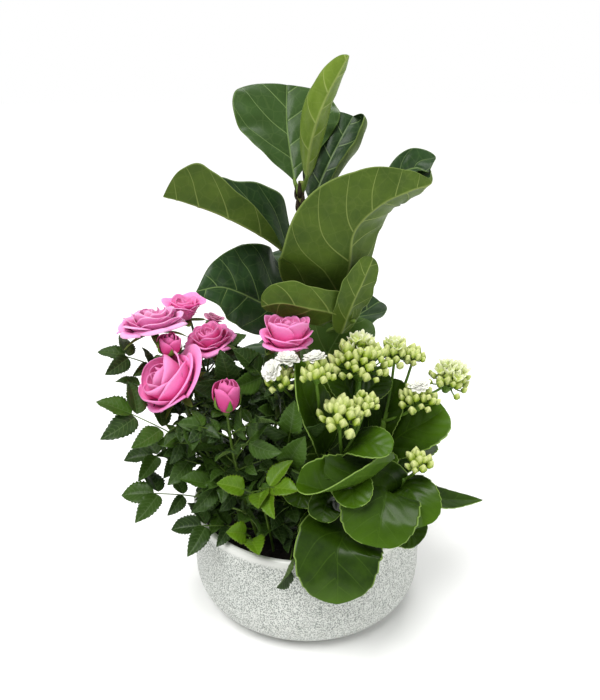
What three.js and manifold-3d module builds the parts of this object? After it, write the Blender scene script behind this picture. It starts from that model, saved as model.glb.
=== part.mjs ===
// A low round ceramic bowl planted with a fiddle-leaf fig, a miniature rose and a kalanchoe.
// Millimetres, +Z up. The origin is the centre of the bowl's flat underside; the fig stands
// at the back (+Y), the rose at the front left and the kalanchoe at the front right.

import * as THREE from "three";
import { mergeVertices } from "three/addons/utils/BufferGeometryUtils.js";
import Module from "manifold-3d";

// Bowl and soil
const BOWL_RADIUS = 100;
const BOWL_HEIGHT = 93.5;
const WALL = 5.5;
const FLOOR = 7;
const FOOT_FILLET = 33;
const SOIL_TOP = 81;
const SOIL_EDGE = 78;
const FACETS = 32;

// Clearance between pieces that rest against each other
const GAP = 0.35;

// Facets thinner than this, left where pieces join, are merged into their neighbours
const SLIVER = 0.1;

// Sheet thickness of each kind of foliage
const FIG_SHEET = 1.0;
const ROSE_SHEET = 0.7;
const PETAL_SHEET = 0.7;
const KALANCHOE_SHEET = 1.8;

// Leaf outlines: half-width along the blade as s^a (1 - s)^b, scaled to a peak of 1
const FIDDLE = [0.72, 0.36];
const ROUND = [0.55, 0.42];

const wasm = await Module();
wasm.setup();

// ---------------------------------------------------------------- solids and vectors

function solid(geometry) {
  const g = geometry.clone();
  g.deleteAttribute("normal");
  g.deleteAttribute("uv");
  const merged = mergeVertices(g, 1e-5);
  return new wasm.Manifold(
    new wasm.Mesh({
      numProp: 3,
      vertProperties: new Float32Array(merged.attributes.position.array),
      triVerts: new Uint32Array(merged.index.array),
    }),
  );
}

function geometryOf(body) {
  const m = body.getMesh();
  const g = new THREE.BufferGeometry();
  g.setAttribute("position", new THREE.BufferAttribute(new Float32Array(m.vertProperties), 3));
  g.setIndex(new THREE.BufferAttribute(new Uint32Array(m.triVerts), 1));
  g.computeVertexNormals();
  return g;
}

const vec = (p) => new THREE.Vector3(...p);
const along = (p, d, k) => p.clone().addScaledVector(d, k);

// Repeatable draw between 0 and 1 for the i-th item of a family
function draw(i, family) {
  const x = Math.sin(i * 12.9898 + family * 78.233) * 43758.5453;
  return x - Math.floor(x);
}

// Uniform Catmull-Rom curve through the points, carried on in a straight line past its ends
function curveAt(points, s) {
  const last = points.length - 1;
  const get = (i) => {
    if (i < 0) return points[0].clone().multiplyScalar(2).sub(points[1]);
    if (i > last) return points[last].clone().multiplyScalar(2).sub(points[last - 1]);
    return points[i];
  };
  const x = Math.min(Math.max(s, 0), 1) * last;
  const i = Math.min(Math.floor(x), last - 1);
  const t = x - i;
  const [a, b, c, d] = [get(i - 1), get(i), get(i + 1), get(i + 2)];
  const p = b.clone().multiplyScalar(2);
  p.addScaledVector(c.clone().sub(a), t);
  const square = a.clone().multiplyScalar(2).addScaledVector(b, -5).addScaledVector(c, 4).sub(d);
  p.addScaledVector(square, t * t);
  const cube = b.clone().multiplyScalar(3).sub(a).addScaledVector(c, -3).add(d);
  p.addScaledVector(cube, t * t * t).multiplyScalar(0.5);
  if (s < 0) p.addScaledVector(points[1].clone().sub(points[0]), s * last);
  if (s > 1) p.addScaledVector(points[last].clone().sub(points[last - 1]), (s - 1) * last);
  return p;
}

function tangentAt(points, s) {
  return curveAt(points, s + 0.004).sub(curveAt(points, s - 0.004)).normalize();
}

// Closed skin over a grid of rows whose first and last row are points: both faces split
// along the same diagonal, then the rim
function closedSheet(top, bottom) {
  const rows = top.length;
  const cols = top[0].length;
  const points = [...top.flat(), ...bottom.flat()];
  const under = rows * cols;
  const at = (i, j) => (i === 0 || i === rows - 1 ? i * cols : i * cols + j);
  const index = [];
  const triangle = (a, b, c) => {
    if (a !== b && b !== c && c !== a) index.push(a, b, c);
  };
  for (let i = 0; i < rows - 1; i++)
    for (let j = 0; j < cols - 1; j++) {
      const [a, b, c, d] = [at(i, j), at(i + 1, j), at(i + 1, j + 1), at(i, j + 1)];
      triangle(a, b, c);
      triangle(a, c, d);
      triangle(under + a, under + c, under + b);
      triangle(under + a, under + d, under + c);
    }
  const rim = (a, b) => index.push(a, b, under + b, a, under + b, under + a);
  for (let i = 0; i < rows - 1; i++) {
    rim(at(i + 1, 0), at(i, 0));
    rim(at(i, cols - 1), at(i + 1, cols - 1));
  }
  const g = new THREE.BufferGeometry();
  g.setAttribute("position", new THREE.Float32BufferAttribute(points.flatMap((p) => [p.x, p.y, p.z]), 3));
  g.setIndex(index);
  return g;
}

// Closed skin over rings of points, from a tight first ring to a tight last one
function closedRings(rings) {
  const n = rings[0].length;
  const centre = (ring) => ring.reduce((sum, p) => sum.add(p), new THREE.Vector3()).divideScalar(n);
  const points = [centre(rings[0]), ...rings.slice(1, -1).flat(), centre(rings[rings.length - 1])];
  const top = points.length - 1;
  const at = (i, j) => 1 + i * n + (j % n);
  const index = [];
  for (let j = 0; j < n; j++) {
    index.push(0, at(0, j + 1), at(0, j));
    index.push(top, at(rings.length - 3, j), at(rings.length - 3, j + 1));
    for (let i = 0; i < rings.length - 3; i++) {
      const [a, b, c, d] = [at(i, j), at(i, j + 1), at(i + 1, j + 1), at(i + 1, j)];
      index.push(a, b, c, a, c, d);
    }
  }
  const g = new THREE.BufferGeometry();
  g.setAttribute("position", new THREE.Float32BufferAttribute(points.flatMap((p) => [p.x, p.y, p.z]), 3));
  g.setIndex(index);
  return g;
}

// ---------------------------------------------------------------- blades, stalks, buds

const pair = (v) => (Array.isArray(v) ? v : [v, v]);

// A leaf or petal. `path` is the midrib, `face` the way its upper side looks at the base and
// `faceTip` at the tip. Each half leaves the midrib at the angle `fold` and bends on by `curl`
// towards the upper side; [left, right] pairs, and foldTip and curlTip at the tip.
function blade({
  path,
  width,
  face,
  faceTip = face,
  fold = 0.1,
  foldTip = fold,
  curl = 0,
  curlTip = curl,
  outline,
  wave = 0,
  waves = 2,
  phase = 0,
  sheet,
  steps = 4,
  across = 2,
}) {
  const points = path.map(vec);
  const [n0, n1] = [vec(face), vec(faceTip)];
  const [f0, f1, c0, c1] = [pair(fold), pair(foldTip), pair(curl), pair(curlTip)];
  const bells = pair(Array.isArray(outline[0]) ? outline : [outline, outline]).map(([a, b]) => {
    const m = a / (a + b);
    return (u) => (u ** a * (1 - u) ** b) / (m ** a * (1 - m) ** b);
  });
  const widths = pair(width).map((w) => w / 2);
  const length = points.reduce((sum, p, i) => (i ? sum + p.distanceTo(points[i - 1]) : 0), 0);
  return (grow = 0) => {
    const e = grow / length;
    const rows = [];
    for (let i = 0; i <= steps; i++) {
      const u = 0.5 - 0.5 * Math.cos((Math.PI * i) / steps);
      const s = -e + u * (1 + 2 * e);
      const p = curveAt(points, s);
      const t = tangentAt(points, s);
      const n = n0.clone().lerp(n1, u);
      const side = t.clone().cross(n).normalize();
      n.copy(side).cross(t);
      const row = [];
      for (let j = 0; j <= across; j++) {
        const v = (2 * j) / across - 1;
        const q = Math.abs(v);
        const k = v < 0 ? 0 : 1;
        const turn = (c0[k] + (c1[k] - c0[k]) * u * u) * q * 0.5;
        const lean = f0[k] + (f1[k] - f0[k]) * u * u + turn;
        const half = i % steps ? widths[k] * bells[k](u) + grow : 0;
        const reach = half * q * (Math.abs(turn) < 1e-6 ? 1 : Math.sin(turn) / turn);
        const ripple = wave * half * q * q * Math.sin(2 * Math.PI * (waves * u + phase + 0.25 * k));
        const r = along(p, side, reach * Math.cos(lean) * Math.sign(v));
        row.push(r.addScaledVector(n, reach * Math.sin(lean) + ripple));
      }
      rows.push(row);
    }
    const lift = (way) =>
      rows.map((row, i) =>
        row.map((p, v) => {
          const j = i % steps ? v : across / 2;
          const at = Math.min(Math.max(i, 1), steps - 1);
          const du = rows[Math.min(i + 1, steps)][j].clone().sub(rows[Math.max(i - 1, 0)][j]);
          const dv = rows[at][Math.min(j + 1, across)].clone().sub(rows[at][Math.max(j - 1, 0)]);
          return along(p, du.cross(dv).normalize(), way * (sheet / 2 + grow));
        }),
      );
    return closedSheet(lift(1), lift(-1));
  };
}

// A round stalk along a path, from one radius to another
function stalk(path, r0, r1, steps = 5, sides = 6) {
  const points = path.map(vec);
  const length = points.reduce((sum, p, i) => (i ? sum + p.distanceTo(points[i - 1]) : 0), 0);
  return (grow = 0) => {
    const e = grow / length;
    const position = [];
    const index = [];
    for (let i = 0; i <= steps; i++) {
      const u = i / steps;
      const s = -e + u * (1 + 2 * e);
      const p = curveAt(points, s);
      const t = tangentAt(points, s);
      const x = new THREE.Vector3(0, 1, 0).cross(t);
      if (x.length() < 0.35) x.set(1, 0, 0).cross(t);
      x.normalize();
      const y = t.clone().cross(x);
      const r = r0 + (r1 - r0) * u + grow;
      for (let k = 0; k < sides; k++) {
        const w = (2 * Math.PI * k) / sides;
        const q = along(along(p, x, r * Math.cos(w)), y, r * Math.sin(w));
        position.push(q.x, q.y, q.z);
      }
    }
    for (let i = 0; i < steps; i++)
      for (let k = 0; k < sides; k++) {
        const [a, b] = [i * sides + k, i * sides + ((k + 1) % sides)];
        index.push(a, b, b + sides, a, b + sides, a + sides);
      }
    for (let k = 1; k < sides - 1; k++) {
      index.push(0, k + 1, k);
      const top = steps * sides;
      index.push(top, top + k, top + k + 1);
    }
    const g = new THREE.BufferGeometry();
    g.setAttribute("position", new THREE.Float32BufferAttribute(position, 3));
    g.setIndex(index);
    return g;
  };
}

// A closed bud: widest `belly` of the way from its foot to its pointed tip
function bud(from, to, radius, foot = 0.9, belly = 0.68, sides = 5) {
  const [a, b] = [vec(from), vec(to)];
  return (grow = 0) => {
    const h = a.distanceTo(b);
    const profile = [
      [0, -grow],
      [foot + grow, -grow],
      [radius + grow, h * belly],
      [0, h + grow * 1.5],
    ];
    const g = new THREE.LatheGeometry(profile.map((p) => new THREE.Vector2(...p)), sides);
    const turn = new THREE.Quaternion().setFromUnitVectors(
      new THREE.Vector3(0, 1, 0),
      b.clone().sub(a).normalize(),
    );
    g.applyQuaternion(turn);
    g.translate(a.x, a.y, a.z);
    return g;
  };
}

// ---------------------------------------------------------------- nodes

const parts = [];

// One body for each node: its pieces joined, less the pieces that already stand there
function node(name, colour, roughness, pieces) {
  const join = (grow) => wasm.Manifold.union(pieces.map((piece) => solid(piece(grow))));
  parts.push({ name, colour, roughness, body: join(0), wide: join(GAP) });
}

// A lathe about +Z
function turned(profile) {
  const g = new THREE.LatheGeometry(profile.map((p) => new THREE.Vector2(...p)), FACETS);
  g.rotateX(Math.PI / 2);
  return g;
}

// Quarter turn of an arc in the profile plane
function arc(r, z, radius, from, to, count) {
  return Array.from({ length: count + 1 }, (_, i) => {
    const w = from + ((to - from) * i) / count;
    return [r + radius * Math.cos(w), z + radius * Math.sin(w)];
  });
}

const HALF = Math.PI / 2;
const LIP = WALL / 2;
const INNER_FILLET = FOOT_FILLET - WALL;
const inner = BOWL_RADIUS - WALL;

const bowlProfile = [
  [0, 0],
  ...arc(BOWL_RADIUS - FOOT_FILLET, FOOT_FILLET, FOOT_FILLET, -HALF, 0, 4),
  ...arc(BOWL_RADIUS - LIP, BOWL_HEIGHT - LIP, LIP, 0, 2 * HALF, 3),
  ...arc(inner - INNER_FILLET, FLOOR + INNER_FILLET, INNER_FILLET, 0, -HALF, 3),
  [0, FLOOR],
];

const soilProfile = [
  [0, FLOOR + GAP],
  ...arc(inner - INNER_FILLET, FLOOR + INNER_FILLET, INNER_FILLET - GAP, -HALF, 0, 3),
  [inner - GAP, SOIL_EDGE],
  [inner * 0.72, SOIL_TOP - 1],
  [inner * 0.36, SOIL_TOP],
  [0, SOIL_TOP],
];

// ---------------------------------------------------------------- bowl and soil

node("bowl", "#e3e4df", 0.35, [() => turned(bowlProfile)]);

// ---------------------------------------------------------------- fiddle-leaf fig

const FIG_GREEN = "#2f4a2c";
const FIG_YOUNG = "#7ea32e";
const FIG_BACK = "#5f7d30";
const TRUNK = [
  [-4, 26, 34],
  [-4, 26, 90],
  [-6, 28, 180],
  [-7, 29, 270],
  [-6, 29, 330],
  [-5, 28, 362],
];

node("fig_trunk", "#6b6a3a", 0.7, [stalk(TRUNK, 5, 2.6, 9, 8)]);

function figLeaf(number, colour, shape, extra = []) {
  const leaf = blade({ outline: FIDDLE, sheet: FIG_SHEET, steps: 8, across: 4, ...shape });
  const [start, next] = shape.path.map(vec);
  const end = next.sub(start).setLength(2.5).add(start);
  const neck = stalk([shape.from, shape.path[0], end.toArray()], 2, 1.1, 3, 5);
  node("fig_leaf_" + number, colour, 0.35, [leaf, neck, ...extra]);
}

// Upper left leaf, upright, its glossy upper side to the front
figLeaf(1, FIG_GREEN, {
  from: [-6, 28, 350],
  path: [[-10, 33, 360], [-14, 48, 382], [-17, 65, 405], [-17, 84, 432]],
  width: 88,
  face: [0, -0.8, 0.5],
  fold: [0.15, 0.15],
  curl: [-0.25, -0.2],
});

// Youngest leaf, standing rolled at the top with its back to the front
figLeaf(2, FIG_YOUNG, {
  from: [-5, 28, 352],
  path: [[-1, 22, 364], [2, 12, 392], [11, 3, 422], [28, -4, 454]],
  width: [44, 44],
  face: [0.1, 1, 0],
  faceTip: [-0.5, 1, 0.2],
  fold: [0.25, 0.35],
  curl: [1.2, 1.4],
  outline: [0.7, 0.55],
});

// Upper right leaf, its right half rolled forward
figLeaf(3, FIG_GREEN, {
  from: [-6, 28, 338],
  path: [[4, 36, 343], [14, 50, 366], [26, 64, 388], [38, 76, 408]],
  width: [50, 84],
  face: [-0.2, -0.9, 0.4],
  fold: [0.1, -0.1],
  curl: [0, 2.2],
});

// Big left leaf, folded along its midrib like a boat
figLeaf(4, FIG_BACK, {
  from: [-7, 28, 296],
  path: [[-14, 24, 301], [-34, 8, 321], [-64, -14, 343], [-89, -26, 355], [-104, -32, 360]],
  width: [60, 92],
  face: [0.35, 0.2, 0.9],
  fold: [1.1, 0.9],
  foldTip: [1.1, 0.7],
  curl: [0.1, 0.2],
  outline: [[1, 0.5], [0.5, 1.8]],
});

// Big right leaf, its back to the front, with the tip scooped over
figLeaf(5, FIG_BACK, {
  from: [-4, 28, 256],
  path: [[19, 10, 253], [31, -12, 298], [34, -22, 332], [50, -26, 354], [70, -24, 366], [91, -13, 373]],
  width: [92, 110],
  face: [-0.1, 1, 0.2],
  faceTip: [-0.3, 0.6, 0.8],
  fold: [0.1, 0.1],
  foldTip: [0.1, 1.2],
  curl: [0.3, 0.4],
  curlTip: [3.0, 0.2],
  outline: [[0.9, 0.28], [0.42, 2.1]],
}, [
  blade({
    path: [[24, 2, 262], [40, -6, 300], [50, -2, 327]],
    width: 32,
    face: [-0.9, 0.4, 0.2],
    outline: FIDDLE,
    sheet: FIG_SHEET,
    steps: 5,
    across: 2,
  }),
]);

// Lower left leaf, spread to the side
figLeaf(6, FIG_GREEN, {
  from: [-7, 28, 246],
  path: [[-17, 18, 256], [-36, 2, 269], [-53, -14, 283], [-67, -26, 291], [-84, -34, 290]],
  width: [54, 96],
  face: [0.1, -0.85, 0.55],
  fold: [0.1, 0.1],
  curl: [-0.3, -0.3],
  outline: [[0.45, 0.8], [0.4, 1.1]],
});

// Leaf in front of the trunk, its back to the front and its upper edge raised
figLeaf(7, FIG_BACK, {
  from: [-6, 28, 228],
  path: [[25, -24, 268], [10, -32, 277], [-10, -34, 280], [-34, -30, 277]],
  width: [46, 34],
  face: [0.1, 0.85, 0.5],
  fold: [0.3, -0.2],
  curl: [0.5, 0.3],
}, [
  blade({
    path: [[22, -20, 262], [41, -22, 291], [50, -14, 308]],
    width: 32,
    face: [-0.6, 0.8, 0.1],
    outline: FIDDLE,
    sheet: FIG_SHEET,
    steps: 5,
    across: 2,
  }),
]);

// Back leaf, seen between the two big ones
figLeaf(8, FIG_GREEN, {
  from: [-7, 29, 262],
  path: [[-6, 40, 269], [-10, 75, 286], [-16, 110, 294], [-20, 134, 290]],
  width: 84,
  face: [0, -0.5, 0.85],
  fold: 0.15,
  curl: 0.3,
});

// Two lower leaves, right and back
figLeaf(9, FIG_GREEN, {
  from: [-5, 28, 214],
  path: [[8, 34, 220], [24, 46, 229], [44, 60, 238], [66, 74, 248]],
  width: 50,
  face: [0, -0.3, 0.95],
  fold: 0.2,
  curl: 0.2,
});

figLeaf(10, FIG_GREEN, {
  from: [-6, 28, 190],
  path: [[-14, 38, 194], [-30, 66, 204], [-44, 94, 200], [-52, 112, 188]],
  width: 70,
  face: [0, -0.4, 0.9],
  fold: 0.15,
  curl: -0.3,
});

// Lowest leaf, upright behind the kalanchoe
figLeaf(11, FIG_BACK, {
  from: [-4, 27, 172],
  path: [[10, 16, 192], [20, 8, 216], [29, 0, 240], [36, -8, 262]],
  width: 58,
  face: [0.1, 0.9, 0.2],
  fold: 0.1,
  curl: 0.6,
});

// ---------------------------------------------------------------- miniature rose

const ROSE_GREEN = "#2f4a25";
const ROSE_NEW = "#5c9a17";

// A compound leaf in one sheet: a narrow stalk, opposite pairs of leaflets that point forward,
// and one leaflet at the end. Each row is a left edge, the midrib and a right edge.
function spray(from, to, face, size, pairs) {
  const [a, b] = [vec(from), vec(to)];
  const d = b.clone().sub(a).normalize();
  const side = d.clone().cross(vec(face)).normalize();
  const up = side.clone().cross(d);
  const length = a.distanceTo(b);
  return (grow = 0) => {
    const arch = (s) => 0.3 * s * (length - s) / length;
    const rows = [];
    // Midrib point at `rib` and edges at `edge` along, `out` to the side and `drop` below. An
    // edge that looks back (ahead -1) or forward (ahead 1) grows that way too.
    const row = (rib, edge, out, drop, ahead = 0) => {
      const place = (s, way) =>
        along(along(along(a, d, s), side, way * (out + grow)), up, arch(s) - (way ? drop : 0));
      const end = edge + ahead * grow;
      rows.push([place(end, -1), along(along(a, d, rib), up, arch(rib)), place(end, 1)]);
    };
    const point = (s, drop) => rows.push([-1, 0, 1].map(() => along(along(a, d, s), up, arch(s) - drop)));
    point(-grow, 0);
    row(length * 0.2, length * 0.2, 0.5, 0);
    for (let i = pairs - 1; i >= 0; i--) {
      const q = length - size * (1 + 0.72 * i);
      row(q - 0.1 * size, q - 0.1 * size, 0.5, 0);
      row(q - 0.03 * size, q - 0.02 * size, 0.46 * size, -0.05 * size, -1);
      row(q + 0.04 * size, q + 0.48 * size, 0.84 * size, 0.12 * size, 1);
      row(q + 0.11 * size, q + 0.46 * size, 0.36 * size, -0.05 * size, 1);
      row(q + 0.18 * size, q + 0.18 * size, 0.5, 0);
    }
    if (!pairs) row(length - size, length - size, 0.5, 0);
    row(length - 0.62 * size, length - 0.6 * size, 0.33 * size, -0.05 * size, -1);
    row(length - 0.28 * size, length - 0.28 * size, 0.24 * size, -0.04 * size, 1);
    point(length + grow, 0.06 * size);
    const lift = (way) => rows.map((r) => r.map((p) => along(p, up, way * (ROSE_SHEET / 2 + grow))));
    return closedSheet(lift(-1), lift(1));
  };
}

function roseStem(number, path, radius, sprays, extra = []) {
  node("rose_stem_" + number, ROSE_GREEN, 0.55, [
    stalk(path, radius, radius * 0.7, 6, 5),
    ...sprays.map(([s, ...rest]) => spray(curveAt(path.map(vec), s).toArray(), ...rest)),
    ...extra,
  ]);
}

roseStem(1, [[-52, -45, 64], [-52, -45, 84], [-66, -52, 135], [-84, -54, 180], [-93, -47, 215]], 1.6, [
  [0.62, [-158, -64, 214], [0.2, -0.5, 0.85], 32, 2],
  [0.56, [-116, -68, 170], [0.1, -0.5, 0.85], 26, 1],
  [0.82, [-84, -94, 190], [0, -0.5, 0.85], 24, 1],
  [0.40, [-148, -60, 130], [0.1, -0.4, 0.9], 30, 1],
]);
roseStem(2, [[-62, -26, 64], [-62, -26, 84], [-84, -24, 150], [-104, -22, 204], [-119, -20, 250]], 1.6, [
  [0.81, [-164, -28, 240], [0.2, -0.4, 0.9], 25, 1],
  [0.70, [-150, -36, 218], [0.2, -0.5, 0.85], 22, 0],
  [0.46, [-150, -36, 148], [0.1, -0.3, 0.95], 28, 2],
  [0.59, [-66, -40, 206], [0, -0.7, 0.7], 24, 1],
], [stalk([[-105, -22, 203], [-107, -28, 222], [-107, -33, 239]], 0.9, 0.8, 3, 5)]);
roseStem(3, [[-46, -18, 64], [-46, -18, 84], [-64, -10, 150], [-84, 2, 205], [-97, 14, 251]], 1.5, [
  [0.53, [-118, 16, 178], [0.1, 0.1, 1], 28, 2],
  [0.76, [-52, 22, 236], [0, -0.3, 0.95], 26, 1],
  [0.38, [-98, -4, 142], [0, -0.4, 0.9], 30, 1],
], [stalk([[-84, 0, 204], [-81, 6, 228], [-78, 9, 248]], 0.8, 0.8, 3, 5)]);
roseStem(4, [[-34, -34, 64], [-34, -34, 84], [-48, -30, 140], [-64, -20, 195], [-76, -10, 235]], 1.6, [
  [0.68, [-65, -52, 249], [0.3, -0.85, 0.4], 34, 1],
  [0.43, [-74, -60, 172], [0, -0.6, 0.8], 28, 1],
  [0.59, [-14, 0, 214], [0, -0.5, 0.85], 30, 2],
]);
roseStem(5, [[-20, -20, 64], [-20, -20, 84], [-20, -22, 150], [-18, -30, 200], [-16, -40, 239]], 1.5, [
  [0.70, [-56, -40, 246], [0.1, -0.6, 0.8], 32, 1],
  [0.55, [-36, -66, 208], [0, -0.7, 0.7], 28, 1],
  [0.39, [-38, 32, 176], [0, -0.3, 0.9], 30, 2],
]);
roseStem(6, [[-40, -58, 64], [-40, -58, 84], [-50, -66, 130], [-57, -68, 170], [-61, -66, 206]], 1.5, [
  [0.72, [-28, -76, 206], [0, -0.7, 0.7], 28, 1],
  [0.51, [-96, -82, 158], [0, -0.6, 0.8], 28, 1],
  [0.33, [-108, -72, 106], [0, -0.4, 0.9], 28, 1],
]);
roseStem(7, [[-14, -46, 64], [-14, -46, 84], [-18, -56, 130], [-18, -60, 164]], 1.4, [
  [0.98, [-10, -80, 220], [0.1, -0.8, 0.5], 32, 1],
  [0.80, [-4, -86, 194], [-0.2, -0.8, 0.5], 38, 1],
  [0.59, [-46, -80, 134], [0, -0.6, 0.8], 28, 1],
  [0.30, [6, -84, 112], [0, -0.5, 0.85], 28, 1],
  [0.44, [-16, -121, 86], [0.9, -0.3, 0.3], 28, 0],
]);

// Soft new growth at the front of the rose
node("rose_shoot_1", ROSE_NEW, 0.5, [
  stalk([[-28, -66, 64], [-28, -66, 84], [-33, -78, 124], [-36, -86, 152]], 1.2, 0.8, 5, 5),
  spray([-36, -86, 151], [-8, -106, 163], [0, -0.6, 0.8], 31, 0),
  spray([-35, -83, 142], [-70, -98, 168], [0, -0.6, 0.8], 32, 0),
  spray([-35, -84, 146], [-36, -114, 146], [0, -0.7, 0.7], 27, 0),
]);
node("rose_shoot_2", ROSE_NEW, 0.5, [
  stalk([[-46, -76, 64], [-46, -76, 80], [-45, -83, 106]], 1.1, 0.8, 4, 5),
  spray([-45, -82, 104], [-36, -114, 116], [0, -0.8, 0.6], 29, 0),
  spray([-45, -81, 100], [-64, -103, 122], [0, -0.8, 0.6], 27, 0),
]);

// A bloom opens along `axis` from its foot in whorls of petals. One skin runs up the outside of
// the outer whorl, over its rim, down into the valley behind it and up the next, to the heart.
// Within a whorl each petal starts outside its neighbour and ends inside the next.
const AROUND = 15;

function bloom(number, { at, axis, radius, height, whorls, open, colour = "#ee8ac6" }) {
  const foot = vec(at);
  const a = vec(axis).normalize();
  const x = new THREE.Vector3(0.3, 1, 0.2).cross(a).normalize();
  const y = a.clone().cross(x);
  const rings = (grow) => {
    const list = [];
    const add = (r, h, petals, spread, dip) =>
      list.push(
        Array.from({ length: AROUND }, (_, j) => {
          const w = (2 * Math.PI * j) / AROUND;
          const f = (j * petals) / AROUND + petals * 0.1;
          const g = f - Math.floor(f);
          const out = r * (1 + spread * (0.4 - g));
          const q = along(along(foot, x, out * Math.cos(w)), y, out * Math.sin(w));
          return along(q, a, h - dip * Math.abs(g - 0.45));
        }),
      );
    add(0.01, -grow, 5, 0, 0);
    add(2 + grow, -grow, 5, 0, 0);
    for (let k = whorls.length; k > 0; k--) {
      const s = k / whorls.length;
      const reach = radius * (0.22 + 0.78 * s ** 1.2);
      const rise = height * (1 - 0.4 * s * open);
      const petals = whorls[k - 1];
      if (k === whorls.length) add(reach * (0.9 - 0.25 * open) + grow, rise * 0.4 - grow, petals, 0.05, 0);
      add(reach + grow, rise + grow, petals, 0.22, rise * 0.3);
      add(reach - PETAL_SHEET * 1.4 - grow, rise + grow, petals, 0.22, rise * 0.3);
      if (k > 1) add(radius * (0.22 + 0.78 * ((k - 0.6) / whorls.length) ** 1.2), height * 0.4, petals, 0.1, 0);
    }
    add(0.01, height * 0.72, 5, 0, 0);
    return list;
  };
  node("rose_bloom_" + number, colour, 0.5, [(grow = 0) => closedRings(rings(grow))]);
}

bloom(1, { at: [-95, -50, 218], axis: [-0.5, -0.75, 0.45], radius: 28, height: 27, whorls: [3, 5, 5], open: 0.8 });
bloom(2, { at: [-119, -20, 251], axis: [-0.1, -0.15, 1], radius: 24, height: 22, whorls: [3, 5, 5], open: 1, colour: "#f4a6d4" });
bloom(3, { at: [-97, 14, 252], axis: [0, -0.1, 1], radius: 14, height: 22, whorls: [3, 5], open: 0.6 });
bloom(4, { at: [-76, -10, 236], axis: [-0.2, -0.25, 0.95], radius: 21, height: 19, whorls: [3, 5, 5], open: 0.9 });
bloom(5, { at: [-107, -34, 240], axis: [0.1, -0.2, 1], radius: 8, height: 17, whorls: [3], open: 0 });
bloom(6, { at: [-16, -40, 240], axis: [0, -0.25, 0.97], radius: 19, height: 25, whorls: [3, 5, 5], open: 0.6 });
bloom(7, { at: [-61, -66, 207], axis: [0.05, -0.1, 1], radius: 9.5, height: 23, whorls: [3], open: 0 });
bloom(8, { at: [-78, 9, 249], axis: [0.3, 0, 1], radius: 7, height: 9, whorls: [3], open: 0.5, colour: "#e27fb6" });

// ---------------------------------------------------------------- kalanchoe

const KALANCHOE_GREEN = "#4d7a1f";
const BUD_LIME = "#cfdc82";
const FLORET_WHITE = "#f6f6ec";

function plump(shape) {
  return blade({ outline: ROUND, sheet: KALANCHOE_SHEET, steps: 5, across: 2, ...shape });
}

function kalanchoeStem(number, path, radius, leaves, stalks) {
  node("kalanchoe_stem_" + number, KALANCHOE_GREEN, 0.45, [
    stalk(path, radius, radius * 0.7, 6, 6),
    ...leaves.map(plump),
    ...stalks.map((s) => stalk(s, 1.4, 1.1, 3, 5)),
  ]);
}

// Left stem: a tall cupped leaf and two heads
kalanchoeStem(1, [[14, -34, 64], [14, -34, 84], [12, -44, 140], [8, -52, 190]], 3.2, [
  { path: [[13, -48, 160], [8, -58, 188], [-2, -64, 216], [-9, -63, 246]], width: [44, 40], face: [0.8, -0.5, 0.1], fold: [0.35, 0], curl: [0.7, 0.2], across: 4, outline: [0.5, 0.6] },
  { path: [[13, -44, 132], [2, -58, 138], [-4, -72, 139], [-8, -82, 132]], width: 34, face: [0, -0.5, 0.85], fold: 0.1 },
  { path: [[13, -36, 120], [-6, -30, 140], [-22, -28, 146]], width: 36, face: [0, 0, 1] },
], [
  [[8, -52, 188], [-10, -56, 210], [-20, -66, 227]],
  [[8, -52, 186], [8, -68, 212], [5, -75, 237]],
]);
// Middle stem: the main head
kalanchoeStem(2, [[40, -20, 64], [40, -20, 84], [38, -32, 150], [39, -44, 226]], 3.2, [
  { path: [[39, -28, 128], [52, -54, 150], [58, -66, 150]], width: 40, face: [0, -0.5, 0.85] },
  { path: [[38, -24, 120], [46, 6, 140], [50, 30, 144]], width: 44, face: [0, -0.3, 1] },
  { path: [[38, -30, 138], [24, -8, 160], [14, 8, 166]], width: 40, face: [0, -0.3, 1] },
], []);
// Right stem: the far heads, a big round leaf and a narrow scalloped one
kalanchoeStem(3, [[62, -22, 64], [62, -22, 84], [60, -26, 130], [62, -28, 180]], 3.2, [
  { path: [[61, -28, 148], [76, -38, 172], [94, -42, 186], [108, -40, 196]], width: 46, face: [-0.2, -0.7, 0.7], fold: 0.1, curl: 0.3 },
  { path: [[61, -26, 150], [62, -26, 176], [67, -27, 194], [75, -24, 213]], width: 30, face: [-0.6, -0.8, 0.2], curl: 0.4 },
  { path: [[61, -24, 120], [90, -2, 140], [104, 10, 142]], width: 44, face: [0, -0.2, 1] },
], [
  [[62, -28, 178], [66, -28, 206], [68, -28, 231]],
  [[62, -28, 178], [76, -26, 206], [83, -22, 227]],
  [[62, -28, 178], [90, -26, 196], [112, -22, 208]],
  [[62, -28, 178], [78, -40, 192], [86, -44, 203]],
]);
// Front stem: the largest buds over a long twisted leaf
kalanchoeStem(4, [[28, -58, 64], [28, -58, 84], [28, -60, 130], [26, -68, 170]], 3.2, [
  { path: [[28, -60, 156], [26, -82, 166], [23, -104, 167], [21, -120, 163]], width: 76, face: [0, -0.2, 1], fold: [0.5, -0.25], curl: [0.4, -0.2], across: 4, steps: 6 },
  { path: [[27, -64, 168], [36, -76, 184], [47, -86, 189], [61, -92, 188]], width: 32, face: [0, -0.4, 0.9] },
  { path: [[28, -60, 146], [30, -86, 160], [29, -101, 148]], width: 26, face: [0, -0.8, 0.5] },
  { path: [[28, -60, 130], [14, -90, 144], [10, -101, 134]], width: 26, face: [0, -0.8, 0.5] },
], [
  [[26, -68, 168], [24, -76, 186], [23, -80, 202]],
  [[26, -68, 168], [36, -70, 190], [41, -70, 206]],
]);
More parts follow.
